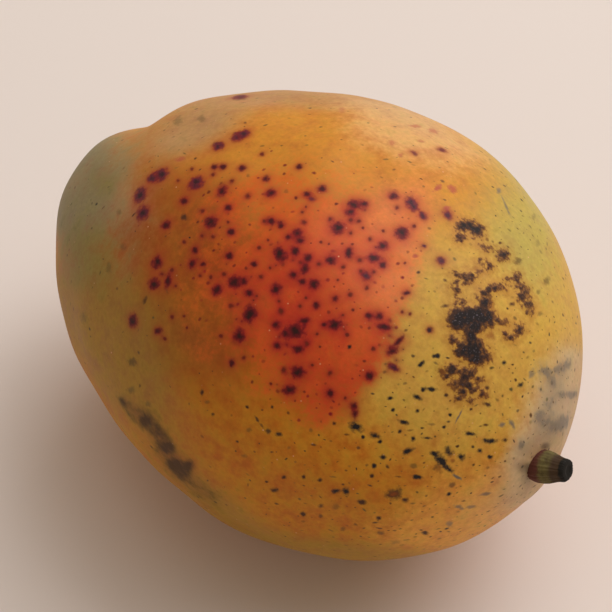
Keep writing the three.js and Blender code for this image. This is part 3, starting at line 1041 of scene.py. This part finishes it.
    def store_flecks(self) -> None:
        """Stores, for each layer, every face corner's offset from the mark nearest to its face.

        The offset is along and across the mark in units of its half axes, so the mark ends where it is
        1 long. As it is exact at each corner, a mark far smaller than a face stays round. Its third
        number is the mark's size in mm, and a colour goes with it whose alpha is the mark's strength.
        A face with no mark near it gets an offset that is out of every mark's reach. The faces are gone
        through in chunks, which keeps the table of distances small.
        """
        mesh = self.mesh
        corner_vertex = np.empty(len(mesh.loops), np.int32)
        mesh.loops.foreach_get("vertex_index", corner_vertex)
        corners_of_face = np.empty(len(mesh.polygons), np.int32)
        mesh.polygons.foreach_get("loop_total", corners_of_face)
        centre = np.empty(len(mesh.polygons) * 3, np.float32)
        mesh.polygons.foreach_get("center", centre)
        centre = centre.reshape(-1, 3)
        corner = self.points[corner_vertex]
        for number, layer in enumerate(self.split_layers()):
            middle = np.array([f.middle for f in layer], np.float32)
            size = np.array([max(f.long, f.wide) for f in layer], np.float32)
            pick = np.empty(len(centre), np.int32)
            gap = np.empty(len(centre), np.float32)
            for rows in np.array_split(np.arange(len(centre)), self.chunks):
                square = (
                    (centre[rows] ** 2).sum(1)[:, None] + (middle ** 2).sum(1) - 2 * centre[rows] @ middle.T
                )
                beyond = np.sqrt(np.maximum(square, 0.0)) / MM - size
                pick[rows] = beyond.argmin(axis=1)
                gap[rows] = beyond.min(axis=1)
            pick = np.repeat(pick, corners_of_face)
            far = np.repeat(gap, corners_of_face) > self.out_of_reach
            offset = (corner - middle[pick]) / MM
            along = np.array([f.along / f.long for f in layer])[pick]
            across = np.array([f.across / f.wide for f in layer])[pick]
            radius = np.array([f.size for f in layer])[pick]
            spot = np.column_stack([(offset * along).sum(1), (offset * across).sum(1), radius])
            spot[far, :2] = self.out_of_reach
            tint = np.array([(*f.colour, f.strength) for f in layer])[pick]
            vectors = mesh.attributes.new(f"fleck_{number}", "FLOAT_VECTOR", "CORNER")
            vectors.data.foreach_set("vector", spot.astype(np.float32).ravel())
            colours = mesh.attributes.new(f"fleck_tint_{number}", "FLOAT_COLOR", "CORNER")
            colours.data.foreach_set("color", tint.astype(np.float32).ravel())
            LOG.info("layer %d holds %d marks", number, len(layer))


@dataclass(frozen=True)
class RipePeel:
    """Ripe mango peel, grown: a smooth, waxy cuticle over a thin rind full of oil and pores.

    The wax gives a broad satin sheen, the rind lets a little light in, so that edges glow, and the
    pores give specks and a fine unevenness. The wax's own unevenness is far finer than a pixel, so it is
    drawn as coarse as it needs to show.
    """

    amber: str = "#cb780d"
    gold: str = "#d29020"
    halo: str = "#ac201f"
    ring: str = "#84141c"
    core: str = "#17130f"
    pore: str = "#e8b48a"
    russet: str = "#361a0a"
    crust: str = "#241b1c"
    crust_grey: str = "#6c6068"
    crust_thin: str = "#40271f"
    crust_rim: str = "#6a3a1e"
    stain: str = "#a5601c"
    broad_mm: float = 14.0
    mottle_mm: float = 3.2
    grain_mm: float = 0.9
    pore_cell_mm: float = 2.1
    cuticle_mm: float = 0.55
    granule_mm: float = 0.42
    ragged_mm: float = 0.85
    glow_mm: float = 1.8
    relief_mm: float = 0.03

    def build(self) -> bpy.types.Material:
        """Makes the peel's material.

        The base is amber mottled with gold. The zones' colours, with the painted sheen, light and shade among
        them, come over it, and then the red round the spots, the pale pores, the russet, the marks of each
        layer, and the crust with its stain and rim.

        Returns:
            The material.
        """
        material = bpy.data.materials.new("ripe_mango_peel")
        material.use_nodes = True
        tree = material.node_tree
        tree.nodes.clear()
        here = add(tree, "TexCoord").outputs["Object"]
        mottle = add(tree, "TexNoise", None, {
            "Vector": here, "Scale": per_metre(self.mottle_mm), "Detail": 5.0, "Roughness": 0.6,
        }).outputs["Fac"]
        grain = add(tree, "TexNoise", None, {
            "Vector": here, "Scale": per_metre(self.grain_mm), "Detail": 3.0, "Roughness": 0.6,
        }).outputs["Fac"]
        broad = add(tree, "TexNoise", None, {
            "Vector": here, "Scale": per_metre(self.broad_mm), "Detail": 3.0, "Roughness": 0.5,
        }).outputs["Fac"]
        share = add(tree, "MapRange", None, {0: mottle, 1: 0.32, 2: 0.68, 3: 0.0, 4: 1.0}).outputs[0]
        colour = add(tree, "Mix", {"data_type": "RGBA"}, {
            0: share, 6: linear(self.amber), 7: linear(self.gold),
        }).outputs[2]
        uneven = add(tree, "Math", {"operation": "ADD"}, {0: mottle, 1: broad}).outputs[0]
        uneven = add(tree, "Math", {"operation": "MULTIPLY_ADD"}, {0: grain, 1: 0.5, 2: uneven}).outputs[0]
        uneven = add(tree, "Math", {"operation": "SUBTRACT"}, {0: uneven, 1: 1.25}).outputs[0]
        colour = self.ripening_and_painted_light(tree, colour, uneven)
        colour = self.mottled(tree, colour, grain, mottle)
        colour = self.spots(tree, colour, grain)
        colour = self.pores(tree, colour, here)
        colour = self.russeting(tree, colour, mottle)
        edge = add(tree, "TexNoise", None, {
            "Vector": here, "Scale": per_metre(self.ragged_mm), "Detail": 2.0, "Roughness": 0.6,
        }).outputs["Fac"]
        colour = self.marks(tree, colour, edge)
        colour, crusted = self.crusting(tree, colour, edge, grain, here)
        roughness = add(tree, "Mix", {"data_type": "FLOAT"}, {
            0: crusted,
            2: add(tree, "MapRange", None, {0: mottle, 1: 0.3, 2: 0.7, 3: 0.5, 4: 0.6}).outputs[0],
            3: 0.68,
        }).outputs[0]
        cuticle = add(tree, "TexNoise", None, {
            "Vector": here, "Scale": per_metre(self.cuticle_mm), "Detail": 3.0, "Roughness": 0.55,
        }).outputs["Fac"]
        height = add(tree, "Math", {"operation": "MULTIPLY_ADD"}, {0: crusted, 1: 2.0, 2: cuticle}).outputs[0]
        height = add(tree, "Math", {"operation": "MULTIPLY_ADD"}, {0: mottle, 1: 1.5, 2: height}).outputs[0]
        bump = add(tree, "Bump", None, {
            "Strength": 1.0, "Distance": self.relief_mm * MM, "Height": height,
        }).outputs[0]
        shader = add(tree, "BsdfPrincipled", {"subsurface_method": "RANDOM_WALK"}, {
            "Base Color": colour,
            "Roughness": roughness,
            "IOR": 1.4,
            "Specular IOR Level": 0.35,
            "Subsurface Weight": 0.12,
            "Subsurface Radius": (1.0, 0.4, 0.1),
            "Subsurface Scale": self.glow_mm * MM,
            "Normal": bump,
        })
        add(tree, "OutputMaterial", None, {"Surface": shader.outputs[0]})
        return material

    def ripening_and_painted_light(
        self, tree: bpy.types.NodeTree, colour: bpy.types.NodeSocket, uneven: bpy.types.NodeSocket
    ) -> bpy.types.NodeSocket:
        """Lays each zone's colour, painted sheen, light and shade among them, where its strength, made ragged
        by the noise, passes its limits.

        The noise only moves the edge where there is some of the zone, so that none turns up elsewhere.

        Args:
            tree: the material's nodes.
            colour: the colour so far.
            uneven: the noise, which is about zero on average.

        Returns:
            The new colour.
        """
        for zone in ZONES:
            strength = add(tree, "Attribute", {"attribute_name": zone.name}).outputs["Fac"]
            hold = add(tree, "MapRange", None, {0: strength, 1: 0.0, 2: 0.25, 3: 0.0, 4: zone.ragged})
            ragged = add(tree, "Math", {"operation": "MULTIPLY_ADD"}, {
                0: uneven, 1: hold.outputs[0], 2: strength,
            }).outputs[0]
            mask = add(tree, "MapRange", {"interpolation_type": "SMOOTHSTEP"}, {
                0: ragged, 1: zone.limits[0], 2: zone.limits[1], 3: 0.0, 4: zone.amount,
            }).outputs[0]
            colour = add(tree, "Mix", {"data_type": "RGBA"}, {
                0: mask, 6: colour, 7: linear(zone.colour),
            }).outputs[2]
        return colour

    def mottled(
        self,
        tree: bpy.types.NodeTree,
        colour: bpy.types.NodeSocket,
        grain: bpy.types.NodeSocket,
        mottle: bpy.types.NodeSocket,
    ) -> bpy.types.NodeSocket:
        """Darkens and lightens the colour a little by the noise, as the rind is thicker and thinner.

        Args:
            tree: the material's nodes.
            colour: the colour so far.
            grain: the fine noise.
            mottle: the noise of the mottling.

        Returns:
            The new colour.
        """
        both = add(tree, "Math", {"operation": "ADD"}, {0: grain, 1: mottle}).outputs[0]
        value = add(tree, "MapRange", None, {0: both, 1: 0.7, 2: 1.3, 3: 0.86, 4: 1.14}).outputs[0]
        hue = add(tree, "MapRange", None, {0: mottle, 1: 0.3, 2: 0.7, 3: 0.492, 4: 0.508}).outputs[0]
        return add(tree, "HueSaturation", None, {
            "Hue": hue, "Value": value, "Color": colour,
        }).outputs[0]

    def spots(
        self, tree: bpy.types.NodeTree, colour: bpy.types.NodeSocket, grain: bpy.types.NodeSocket
    ) -> bpy.types.NodeSocket:
        """Lays the red that spreads round the dark spots, stronger where the blush is.

        Args:
            tree: the material's nodes.
            colour: the colour so far.
            grain: the fine noise, which breaks the red's edge up.

        Returns:
            The new colour.
        """
        red = add(tree, "Attribute", {"attribute_name": "halo"}).outputs["Fac"]
        blush = add(tree, "Attribute", {"attribute_name": "blush"}).outputs["Fac"]
        allowed = add(tree, "MapRange", None, {0: blush, 1: 0.0, 2: 0.6, 3: 0.62, 4: 0.92}).outputs[0]
        broken = add(tree, "MapRange", None, {0: grain, 1: 0.3, 2: 0.7, 3: 0.75, 4: 1.15}).outputs[0]
        mask = add(tree, "Math", {"operation": "MULTIPLY"}, {0: red, 1: allowed}).outputs[0]
        mask = add(tree, "Math", {"operation": "MULTIPLY", "use_clamp": True}, {
            0: mask, 1: broken,
        }).outputs[0]
        mixed = add(tree, "Mix", {"data_type": "RGBA"}, {0: mask, 6: colour, 7: linear(self.halo)})
        return mixed.outputs[2]

    def pores(
        self, tree: bpy.types.NodeTree, colour: bpy.types.NodeSocket, here: bpy.types.NodeSocket
    ) -> bpy.types.NodeSocket:
        """Lays the pale, waxy dots over the pores: a small dot in some of the cells.

        Args:
            tree: the material's nodes.
            colour: the colour so far.
            here: the place on the piece.

        Returns:
            The new colour.
        """
        cells = add(tree, "TexVoronoi", None, {"Vector": here, "Scale": per_metre(self.pore_cell_mm)})
        dot = add(tree, "MapRange", {"interpolation_type": "SMOOTHSTEP"}, {
            0: cells.outputs["Distance"], 1: 0.03, 2: 0.1, 3: 1.0, 4: 0.0,
        }).outputs[0]
        chance = add(tree, "SeparateColor", None, {0: cells.outputs["Color"]}).outputs[0]
        some = add(tree, "MapRange", None, {0: chance, 1: 0.45, 2: 0.95, 3: 0.0, 4: 0.75}).outputs[0]
        mask = add(tree, "Math", {"operation": "MULTIPLY"}, {0: dot, 1: some}).outputs[0]
        return add(tree, "Mix", {"data_type": "RGBA"}, {
            0: mask, 6: colour, 7: linear(self.pore),
        }).outputs[2]

    def russeting(
        self, tree: bpy.types.NodeTree, colour: bpy.types.NodeSocket, mottle: bpy.types.NodeSocket
    ) -> bpy.types.NodeSocket:
        """Lays the brown russet streak, broken up by the mottling.

        Args:
            tree: the material's nodes.
            colour: the colour so far.
            mottle: the noise of the mottling.

        Returns:
            The new colour.
        """
        strength = add(tree, "Attribute", {"attribute_name": "russet"}).outputs["Fac"]
        uneven = add(tree, "Math", {"operation": "MULTIPLY_ADD"}, {0: mottle, 1: 1.5, 2: strength}).outputs[0]
        mask = add(tree, "MapRange", {"interpolation_type": "SMOOTHSTEP"}, {
            0: uneven, 1: 0.78, 2: 1.7, 3: 0.0, 4: 0.9,
        }).outputs[0]
        return add(tree, "Mix", {"data_type": "RGBA"}, {
            0: mask, 6: colour, 7: linear(self.russet),
        }).outputs[2]

    def marks(
        self, tree: bpy.types.NodeTree, colour: bpy.types.NodeSocket, edge: bpy.types.NodeSocket
    ) -> bpy.types.NodeSocket:
        """Lays each layer's marks: full within an offset of 1, which the noise makes uneven.

        The edge is soft by a share of the mark's size. Where the skin is red round a spot, a dark red
        ring runs round the mark's edge, and the mark's middle is nearly black.

        Args:
            tree: the material's nodes.
            colour: the colour so far.
            edge: the noise that makes the marks' outlines uneven.

        Returns:
            The new colour.
        """
        shift = add(tree, "Math", {"operation": "MULTIPLY_ADD"}, {0: edge, 1: 1.6, 2: -1.8}).outputs[0]
        halo = add(tree, "Attribute", {"attribute_name": "halo"}).outputs["Fac"]
        reddened = add(tree, "MapRange", None, {0: halo, 1: 0.2, 2: 0.7, 3: 0.0, 4: 0.85}).outputs[0]
        for number in range(LAYERS):
            spot = add(tree, "Attribute", {"attribute_name": f"fleck_{number}"}).outputs["Vector"]
            tint = add(tree, "Attribute", {"attribute_name": f"fleck_tint_{number}"})
            parts = add(tree, "SeparateXYZ", None, {0: spot})
            flat = add(tree, "CombineXYZ", None, {0: parts.outputs[0], 1: parts.outputs[1]}).outputs[0]
            length = add(tree, "VectorMath", {"operation": "LENGTH"}, {0: flat}).outputs["Value"]
            beyond = add(tree, "Math", {"operation": "ADD"}, {0: length, 1: shift}).outputs[0]
            gap = add(tree, "Math", {"operation": "MULTIPLY"}, {0: beyond, 1: parts.outputs[2]}).outputs[0]
            ring = add(tree, "MapRange", {"interpolation_type": "SMOOTHSTEP"}, {
                0: gap, 1: -0.35, 2: 0.7, 3: 1.0, 4: 0.0,
            }).outputs[0]
            ring = add(tree, "Math", {"operation": "MULTIPLY"}, {0: ring, 1: reddened}).outputs[0]
            colour = add(tree, "Mix", {"data_type": "RGBA"}, {
                0: ring, 6: colour, 7: linear(self.ring),
            }).outputs[2]
            inside = add(tree, "MapRange", {"interpolation_type": "SMOOTHSTEP"}, {
                0: beyond, 1: -0.75, 2: 0.25, 3: 1.0, 4: 0.0,
            }).outputs[0]
            mask = add(tree, "Math", {"operation": "MULTIPLY"}, {
                0: inside, 1: tint.outputs["Alpha"],
            }).outputs[0]
            depth = add(tree, "MapRange", None, {
                0: parts.outputs[2], 1: 0.45, 2: 1.0, 3: 0.0, 4: 0.8,
            }).outputs[0]
            core = add(tree, "MapRange", {"interpolation_type": "SMOOTHSTEP"}, {
                0: beyond, 1: -0.95, 2: -0.45, 3: depth, 4: 0.0,
            }).outputs[0]
            core = add(tree, "Math", {"operation": "MULTIPLY"}, {0: core, 1: reddened}).outputs[0]
            dark = add(tree, "Mix", {"data_type": "RGBA"}, {
                0: core, 6: tint.outputs["Color"], 7: linear(self.core),
            }).outputs[2]
            colour = add(tree, "Mix", {"data_type": "RGBA"}, {0: mask, 6: colour, 7: dark}).outputs[2]
        return colour

    def crusting(
        self,
        tree: bpy.types.NodeTree,
        colour: bpy.types.NodeSocket,
        edge: bpy.types.NodeSocket,
        grain: bpy.types.NodeSocket,
        here: bpy.types.NodeSocket,
    ) -> tuple[bpy.types.NodeSocket, bpy.types.NodeSocket]:
        """Lays the sooty crust: a stain and a rim round it, brown where it is thin, else grained black.

        Args:
            tree: the material's nodes.
            colour: the colour so far.
            edge: the noise that breaks its outline up.
            grain: the finer noise of its surface.
            here: the place on the piece, for its granules.

        Returns:
            The new colour, and where the crust is.
        """
        distance = add(tree, "Attribute", {"attribute_name": "crust"}).outputs["Fac"]
        rough = add(tree, "Math", {"operation": "MULTIPLY_ADD"}, {0: edge, 1: 2.2, 2: distance}).outputs[0]
        rough = add(tree, "Math", {"operation": "MULTIPLY_ADD"}, {0: grain, 1: 1.4, 2: rough}).outputs[0]
        rough = add(tree, "Math", {"operation": "SUBTRACT"}, {0: rough, 1: 1.7}).outputs[0]
        stain = add(tree, "MapRange", {"interpolation_type": "SMOOTHSTEP"}, {
            0: rough, 1: 0.0, 2: 2.0, 3: 0.45, 4: 0.0,
        }).outputs[0]
        rim = add(tree, "MapRange", {"interpolation_type": "SMOOTHSTEP"}, {
            0: rough, 1: 0.0, 2: 0.5, 3: 0.8, 4: 0.0,
        }).outputs[0]
        crusted = add(tree, "MapRange", {"interpolation_type": "SMOOTHSTEP"}, {
            0: rough, 1: -0.45, 2: 0.1, 3: 0.92, 4: 0.0,
        }).outputs[0]
        thick = add(tree, "MapRange", {"interpolation_type": "SMOOTHSTEP"}, {
            0: rough, 1: -0.95, 2: -0.35, 3: 1.0, 4: 0.0,
        }).outputs[0]
        granules = add(tree, "TexVoronoi", None, {"Vector": here, "Scale": per_metre(self.granule_mm)})
        grains = add(tree, "MapRange", {"interpolation_type": "SMOOTHSTEP"}, {
            0: granules.outputs["Distance"], 1: 0.12, 2: 0.42, 3: 1.0, 4: 0.0,
        }).outputs[0]
        lit = add(tree, "MapRange", None, {0: grain, 1: 0.4, 2: 0.62, 3: 0.15, 4: 0.8}).outputs[0]
        speckle = add(tree, "Math", {"operation": "MULTIPLY"}, {0: grains, 1: lit}).outputs[0]
        black = add(tree, "Mix", {"data_type": "RGBA"}, {
            0: speckle, 6: linear(self.crust), 7: linear(self.crust_grey),
        }).outputs[2]
        coats = (
            (stain, linear(self.stain)),
            (rim, linear(self.crust_rim)),
            (crusted, linear(self.crust_thin)),
            (thick, black),
        )
        for mask, tint in coats:
            colour = add(tree, "Mix", {"data_type": "RGBA"}, {0: mask, 6: colour, 7: tint}).outputs[2]
        return colour, crusted


@dataclass
class StemStub:
    """The stub of the fruit's stem: a short, fluted stump whose end has dried black.

    The profile gives radius and height in mm from the root up, and the lean is a lon and lat in degrees.
    The wrinkles have their height where there are as many waves as the full count.
    """

    form: FruitForm
    profile: tuple[tuple[float, float], ...] = (
        (0.0, -4.0), (1.7, -3.8), (2.2, -2.2), (2.6, -1.0), (2.85, -0.1), (2.95, 0.7), (2.9, 1.5),
        (2.74, 2.4), (2.5, 3.2), (2.27, 3.9), (2.12, 4.5), (2.08, 5.0), (2.0, 5.45), (1.8, 5.75),
        (1.15, 5.8), (0.6, 5.62), (0.0, 5.58),
    )
    lean: tuple[float, float] = (13.0, 14.5)
    flutes: int = 5
    flute_depth: float = 0.06
    wrinkle_mm: float = 0.035
    wrinkle_count: int = 26
    wrinkle_full_count: float = 24.0
    wrinkle_waves: tuple[int, int] = (5, 34)
    wrinkle_drift: float = 0.5
    rings: int = 120
    around: int = 180
    seed: int = 7

    def build(self) -> bpy.types.Object:
        """Makes the stub: its profile turned about the stem's axis, with flutes and fine wrinkles.

        The profile is read at even steps of its length. A point's radius is the profile's, less the
        flutes, which deepen above the root, plus the wrinkles, which are waves round the stem that drift
        slowly along it. The shape is then leant the way the stem leans and stood on the skin.

        Returns:
            The stub's object.
        """
        corners = np.array(self.profile)
        steps = np.concatenate([[0.0], np.cumsum(np.linalg.norm(np.diff(corners, axis=0), axis=1))])
        at = np.linspace(0.0, steps[-1], self.rings + 2)[1:-1]
        radius = np.interp(at, steps, corners[:, 0])
        height = np.interp(at, steps, corners[:, 1])
        smooth = np.array([0.25, 0.5, 0.25])
        radius[1:-1] = np.convolve(radius, smooth, "valid")
        turn = 2 * np.pi * np.arange(self.around) / self.around
        level = height[:, None]
        flute = 0.5 * self.flute_depth * ease(level, 0.2, 3.2) * (1.0 + np.cos(self.flutes * turn))
        wrinkled = self.wrinkles(turn, level) * ease(radius, 0.6, 1.8)[:, None]
        spread = radius[:, None] * (1.0 - flute) + wrinkled
        rings = np.stack([spread * np.cos(turn), -spread * np.sin(turn), level + 0 * turn], axis=-1)
        lean = Vector((0, 0, 1)).rotation_difference(Vector(direction(*self.lean).tolist())).to_matrix()
        foot = self.form.skin(direction(*self.form.stem_at)[None])[0]
        placed = self.form.lay(rings @ np.array(lean).T + foot)
        lowest, highest = self.profile[0][1], self.profile[-1][1]
        ends = np.array([[0, 0, lowest], [0, 0, highest]])
        root, tip = self.form.lay(ends @ np.array(lean).T + foot)
        stub = closed_surface("stem_stub_dried", root, placed, tip)
        heights = np.concatenate([[lowest], np.repeat(height, self.around), [highest]])
        store(stub.data, "stem_height", heights)
        return stub

    def wrinkles(self, turn: np.ndarray, level: np.ndarray) -> np.ndarray:
        """Fine lengthwise wrinkles: a seeded sum of waves round the stem that drift with height.

        Args:
            turn: the angle of each point of a ring.
            level: the height of each ring, in mm.

        Returns:
            How far each point of each ring stands out, in mm.
        """
        draw = np.random.default_rng(self.seed)
        total = np.zeros(np.broadcast_shapes(turn.shape, level.shape))
        for _ in range(self.wrinkle_count):
            waves = draw.integers(*self.wrinkle_waves)
            drift = draw.normal(scale=self.wrinkle_drift)
            phase = draw.uniform(0.0, 2.0 * math.pi)
            total += np.sin(waves * turn + drift * level + phase) / math.sqrt(waves)
        return self.wrinkle_mm * total / math.sqrt(self.wrinkle_count / self.wrinkle_full_count)


@dataclass(frozen=True)
class DriedStem:
    """Green wood of a fruit stalk, snapped off and drying: fibrous, matt, black and corky at its end."""

    olive: str = "#6f6438"
    brown: str = "#4d3f22"
    collar: str = "#5a2a26"
    neck: str = "#3f2a1d"
    black: str = "#0a0b0a"
    fibre_mm: float = 1.6
    relief_mm: float = 0.12

    def build(self) -> bpy.types.Material:
        """Makes the stem's material: bands of colour along its height, streaked by the fibres.

        Returns:
            The material.
        """
        material = bpy.data.materials.new("dried_fruit_stalk")
        material.use_nodes = True
        tree = material.node_tree
        tree.nodes.clear()
        here = add(tree, "TexCoord").outputs["Object"]
        fibre = add(tree, "TexNoise", None, {
            "Vector": here, "Scale": per_metre(self.fibre_mm), "Detail": 4.0, "Roughness": 0.65,
        }).outputs["Fac"]
        height = add(tree, "Attribute", {"attribute_name": "stem_height"}).outputs["Fac"]
        uneven = add(tree, "Math", {"operation": "MULTIPLY_ADD"}, {0: fibre, 1: 1.6, 2: height}).outputs[0]
        uneven = add(tree, "Math", {"operation": "SUBTRACT"}, {0: uneven, 1: 0.8}).outputs[0]
        streak = add(tree, "MapRange", None, {0: fibre, 1: 0.35, 2: 0.65, 3: 0.0, 4: 1.0}).outputs[0]
        colour = add(tree, "Mix", {"data_type": "RGBA"}, {
            0: streak, 6: linear(self.brown), 7: linear(self.olive),
        }).outputs[2]
        # The heights in mm where each band is clear and where it is full, and its colour.
        bands = ((1.9, 0.8, self.collar), (2.8, 3.7, self.neck), (4.7, 5.2, self.black))
        for clear, full, tint in bands:
            mask = add(tree, "MapRange", {"interpolation_type": "SMOOTHSTEP"}, {
                0: uneven, 1: clear, 2: full, 3: 0.0, 4: 0.9,
            }).outputs[0]
            colour = add(tree, "Mix", {"data_type": "RGBA"}, {0: mask, 6: colour, 7: linear(tint)}).outputs[2]
        bump = add(tree, "Bump", None, {
            "Strength": 1.0, "Distance": self.relief_mm * MM, "Height": fibre,
        }).outputs[0]
        shader = add(tree, "BsdfPrincipled", None, {
            "Base Color": colour, "Roughness": 0.75, "IOR": 1.45, "Specular IOR Level": 0.3, "Normal": bump,
        })
        add(tree, "OutputMaterial", None, {"Surface": shader.outputs[0]})
        return material


@dataclass(frozen=True)
class Lamp:
    """One large square lamp that faces the fruit.

    Its turn is from straight behind the fruit towards the photo's right and its rise is above the
    floor, both in degrees. Its distance from the fruit's middle and its side are in metres, and its
    power is in watts.
    """

    name: str
    turn: float
    rise: float
    distance: float
    side: float
    power: float


@dataclass(frozen=True)
class Studio:
    """The plain pale floor and the soft light of three large sources, behind, on the right and above."""

    view: PhotoView
    floor_colour: str = "#e8dcd7"
    world_colour: str = "#fff0d6"
    world_strength: float = 0.34
    floor_radius: float = 3.0
    floor_sides: int = 96
    floor_roughness: float = 0.75
    lamps: tuple[Lamp, ...] = (
        Lamp("key_window", 42.0, 49.0, 1.3, 1.3, 10.5),
        Lamp("side_window", 82.0, 55.0, 1.3, 1.0, 3.4),
        Lamp("ceiling_bounce", 0.0, 85.0, 1.3, 1.0, 2.2),
    )

    def build(self) -> None:
        """Makes the floor, the world's light and the lamps."""
        turn = 2 * np.pi * np.arange(self.floor_sides) / self.floor_sides
        rim = self.floor_radius * np.column_stack([np.cos(turn), np.sin(turn), 0 * turn])
        mesh = bpy.data.meshes.new("floor")
        mesh.from_pydata(rim.tolist(), [], [list(range(len(turn)))])
        floor = bpy.data.objects.new("floor", mesh)
        bpy.context.scene.collection.objects.link(floor)
        floor.data.materials.append(self.floor_material())
        world = bpy.data.worlds.new("soft_room")
        world.use_nodes = True
        background = world.node_tree.nodes["Background"]
        background.inputs["Color"].default_value = linear(self.world_colour)
        background.inputs["Strength"].default_value = self.world_strength
        bpy.context.scene.world = world
        for lamp in self.lamps:
            self.hang(lamp)

    def floor_material(self) -> bpy.types.Material:
        """Makes the floor's material: matt pale paint, rolled on, which looks even and hardly shines.

        Returns:
            The material.
        """
        material = bpy.data.materials.new("matt_pale_paint")
        material.use_nodes = True
        shader = material.node_tree.nodes["Principled BSDF"]
        shader.inputs["Base Color"].default_value = linear(self.floor_colour)
        shader.inputs["Roughness"].default_value = self.floor_roughness
        return material

    def hang(self, lamp: Lamp) -> None:
        """Hangs one lamp, facing the fruit's middle and out of the camera's sight.

        Args:
            lamp: the lamp's place, size and power.
        """
        _, right, _, ahead = self.view.axes
        behind = unit(ahead * np.array([1.0, 1.0, 0.0]))
        swing, lift = math.radians(lamp.turn), math.radians(lamp.rise)
        level = math.cos(swing) * behind + math.sin(swing) * right
        way = math.cos(lift) * level + math.sin(lift) * UP
        data = bpy.data.lights.new(lamp.name, "AREA")
        data.size = lamp.side
        data.energy = lamp.power
        hung = bpy.data.objects.new(lamp.name, data)
        hung.location = Vector((self.view.middle + way * lamp.distance).tolist())
        hung.rotation_euler = Vector(way.tolist()).to_track_quat("Z", "Y").to_euler()
        hung.visible_camera = False
        bpy.context.scene.collection.objects.link(hung)


def main() -> None:
    """Builds the mango round its frame, lights it and stands the camera where the photo's stood."""
    logging.basicConfig(level=logging.INFO, format="%(name)s: %(message)s")
    bpy.context.scene.view_settings.view_transform = "Standard"
    form = FruitForm()
    view = PhotoView(middle=form.lay(np.zeros(3)))
    view.make_camera()
    fruit = Fruit(view, form)
    skin = fruit.build()
    fruit.colour()
    fruit.mark()
    fruit.crust()
    skin.data.materials.append(RipePeel().build())
    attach(skin, "root")
    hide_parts("fruit")
    LOG.info("fruit: %d faces and %d marks", len(skin.data.polygons), len(fruit.flecks))
    stub = StemStub(form).build()
    stub.data.materials.append(DriedStem().build())
    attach(stub, "root")
    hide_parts("stem_stub")
    LOG.info("stem stub: %d faces", len(stub.data.polygons))
    Studio(view).build()


if __name__ == "__main__":
    main()
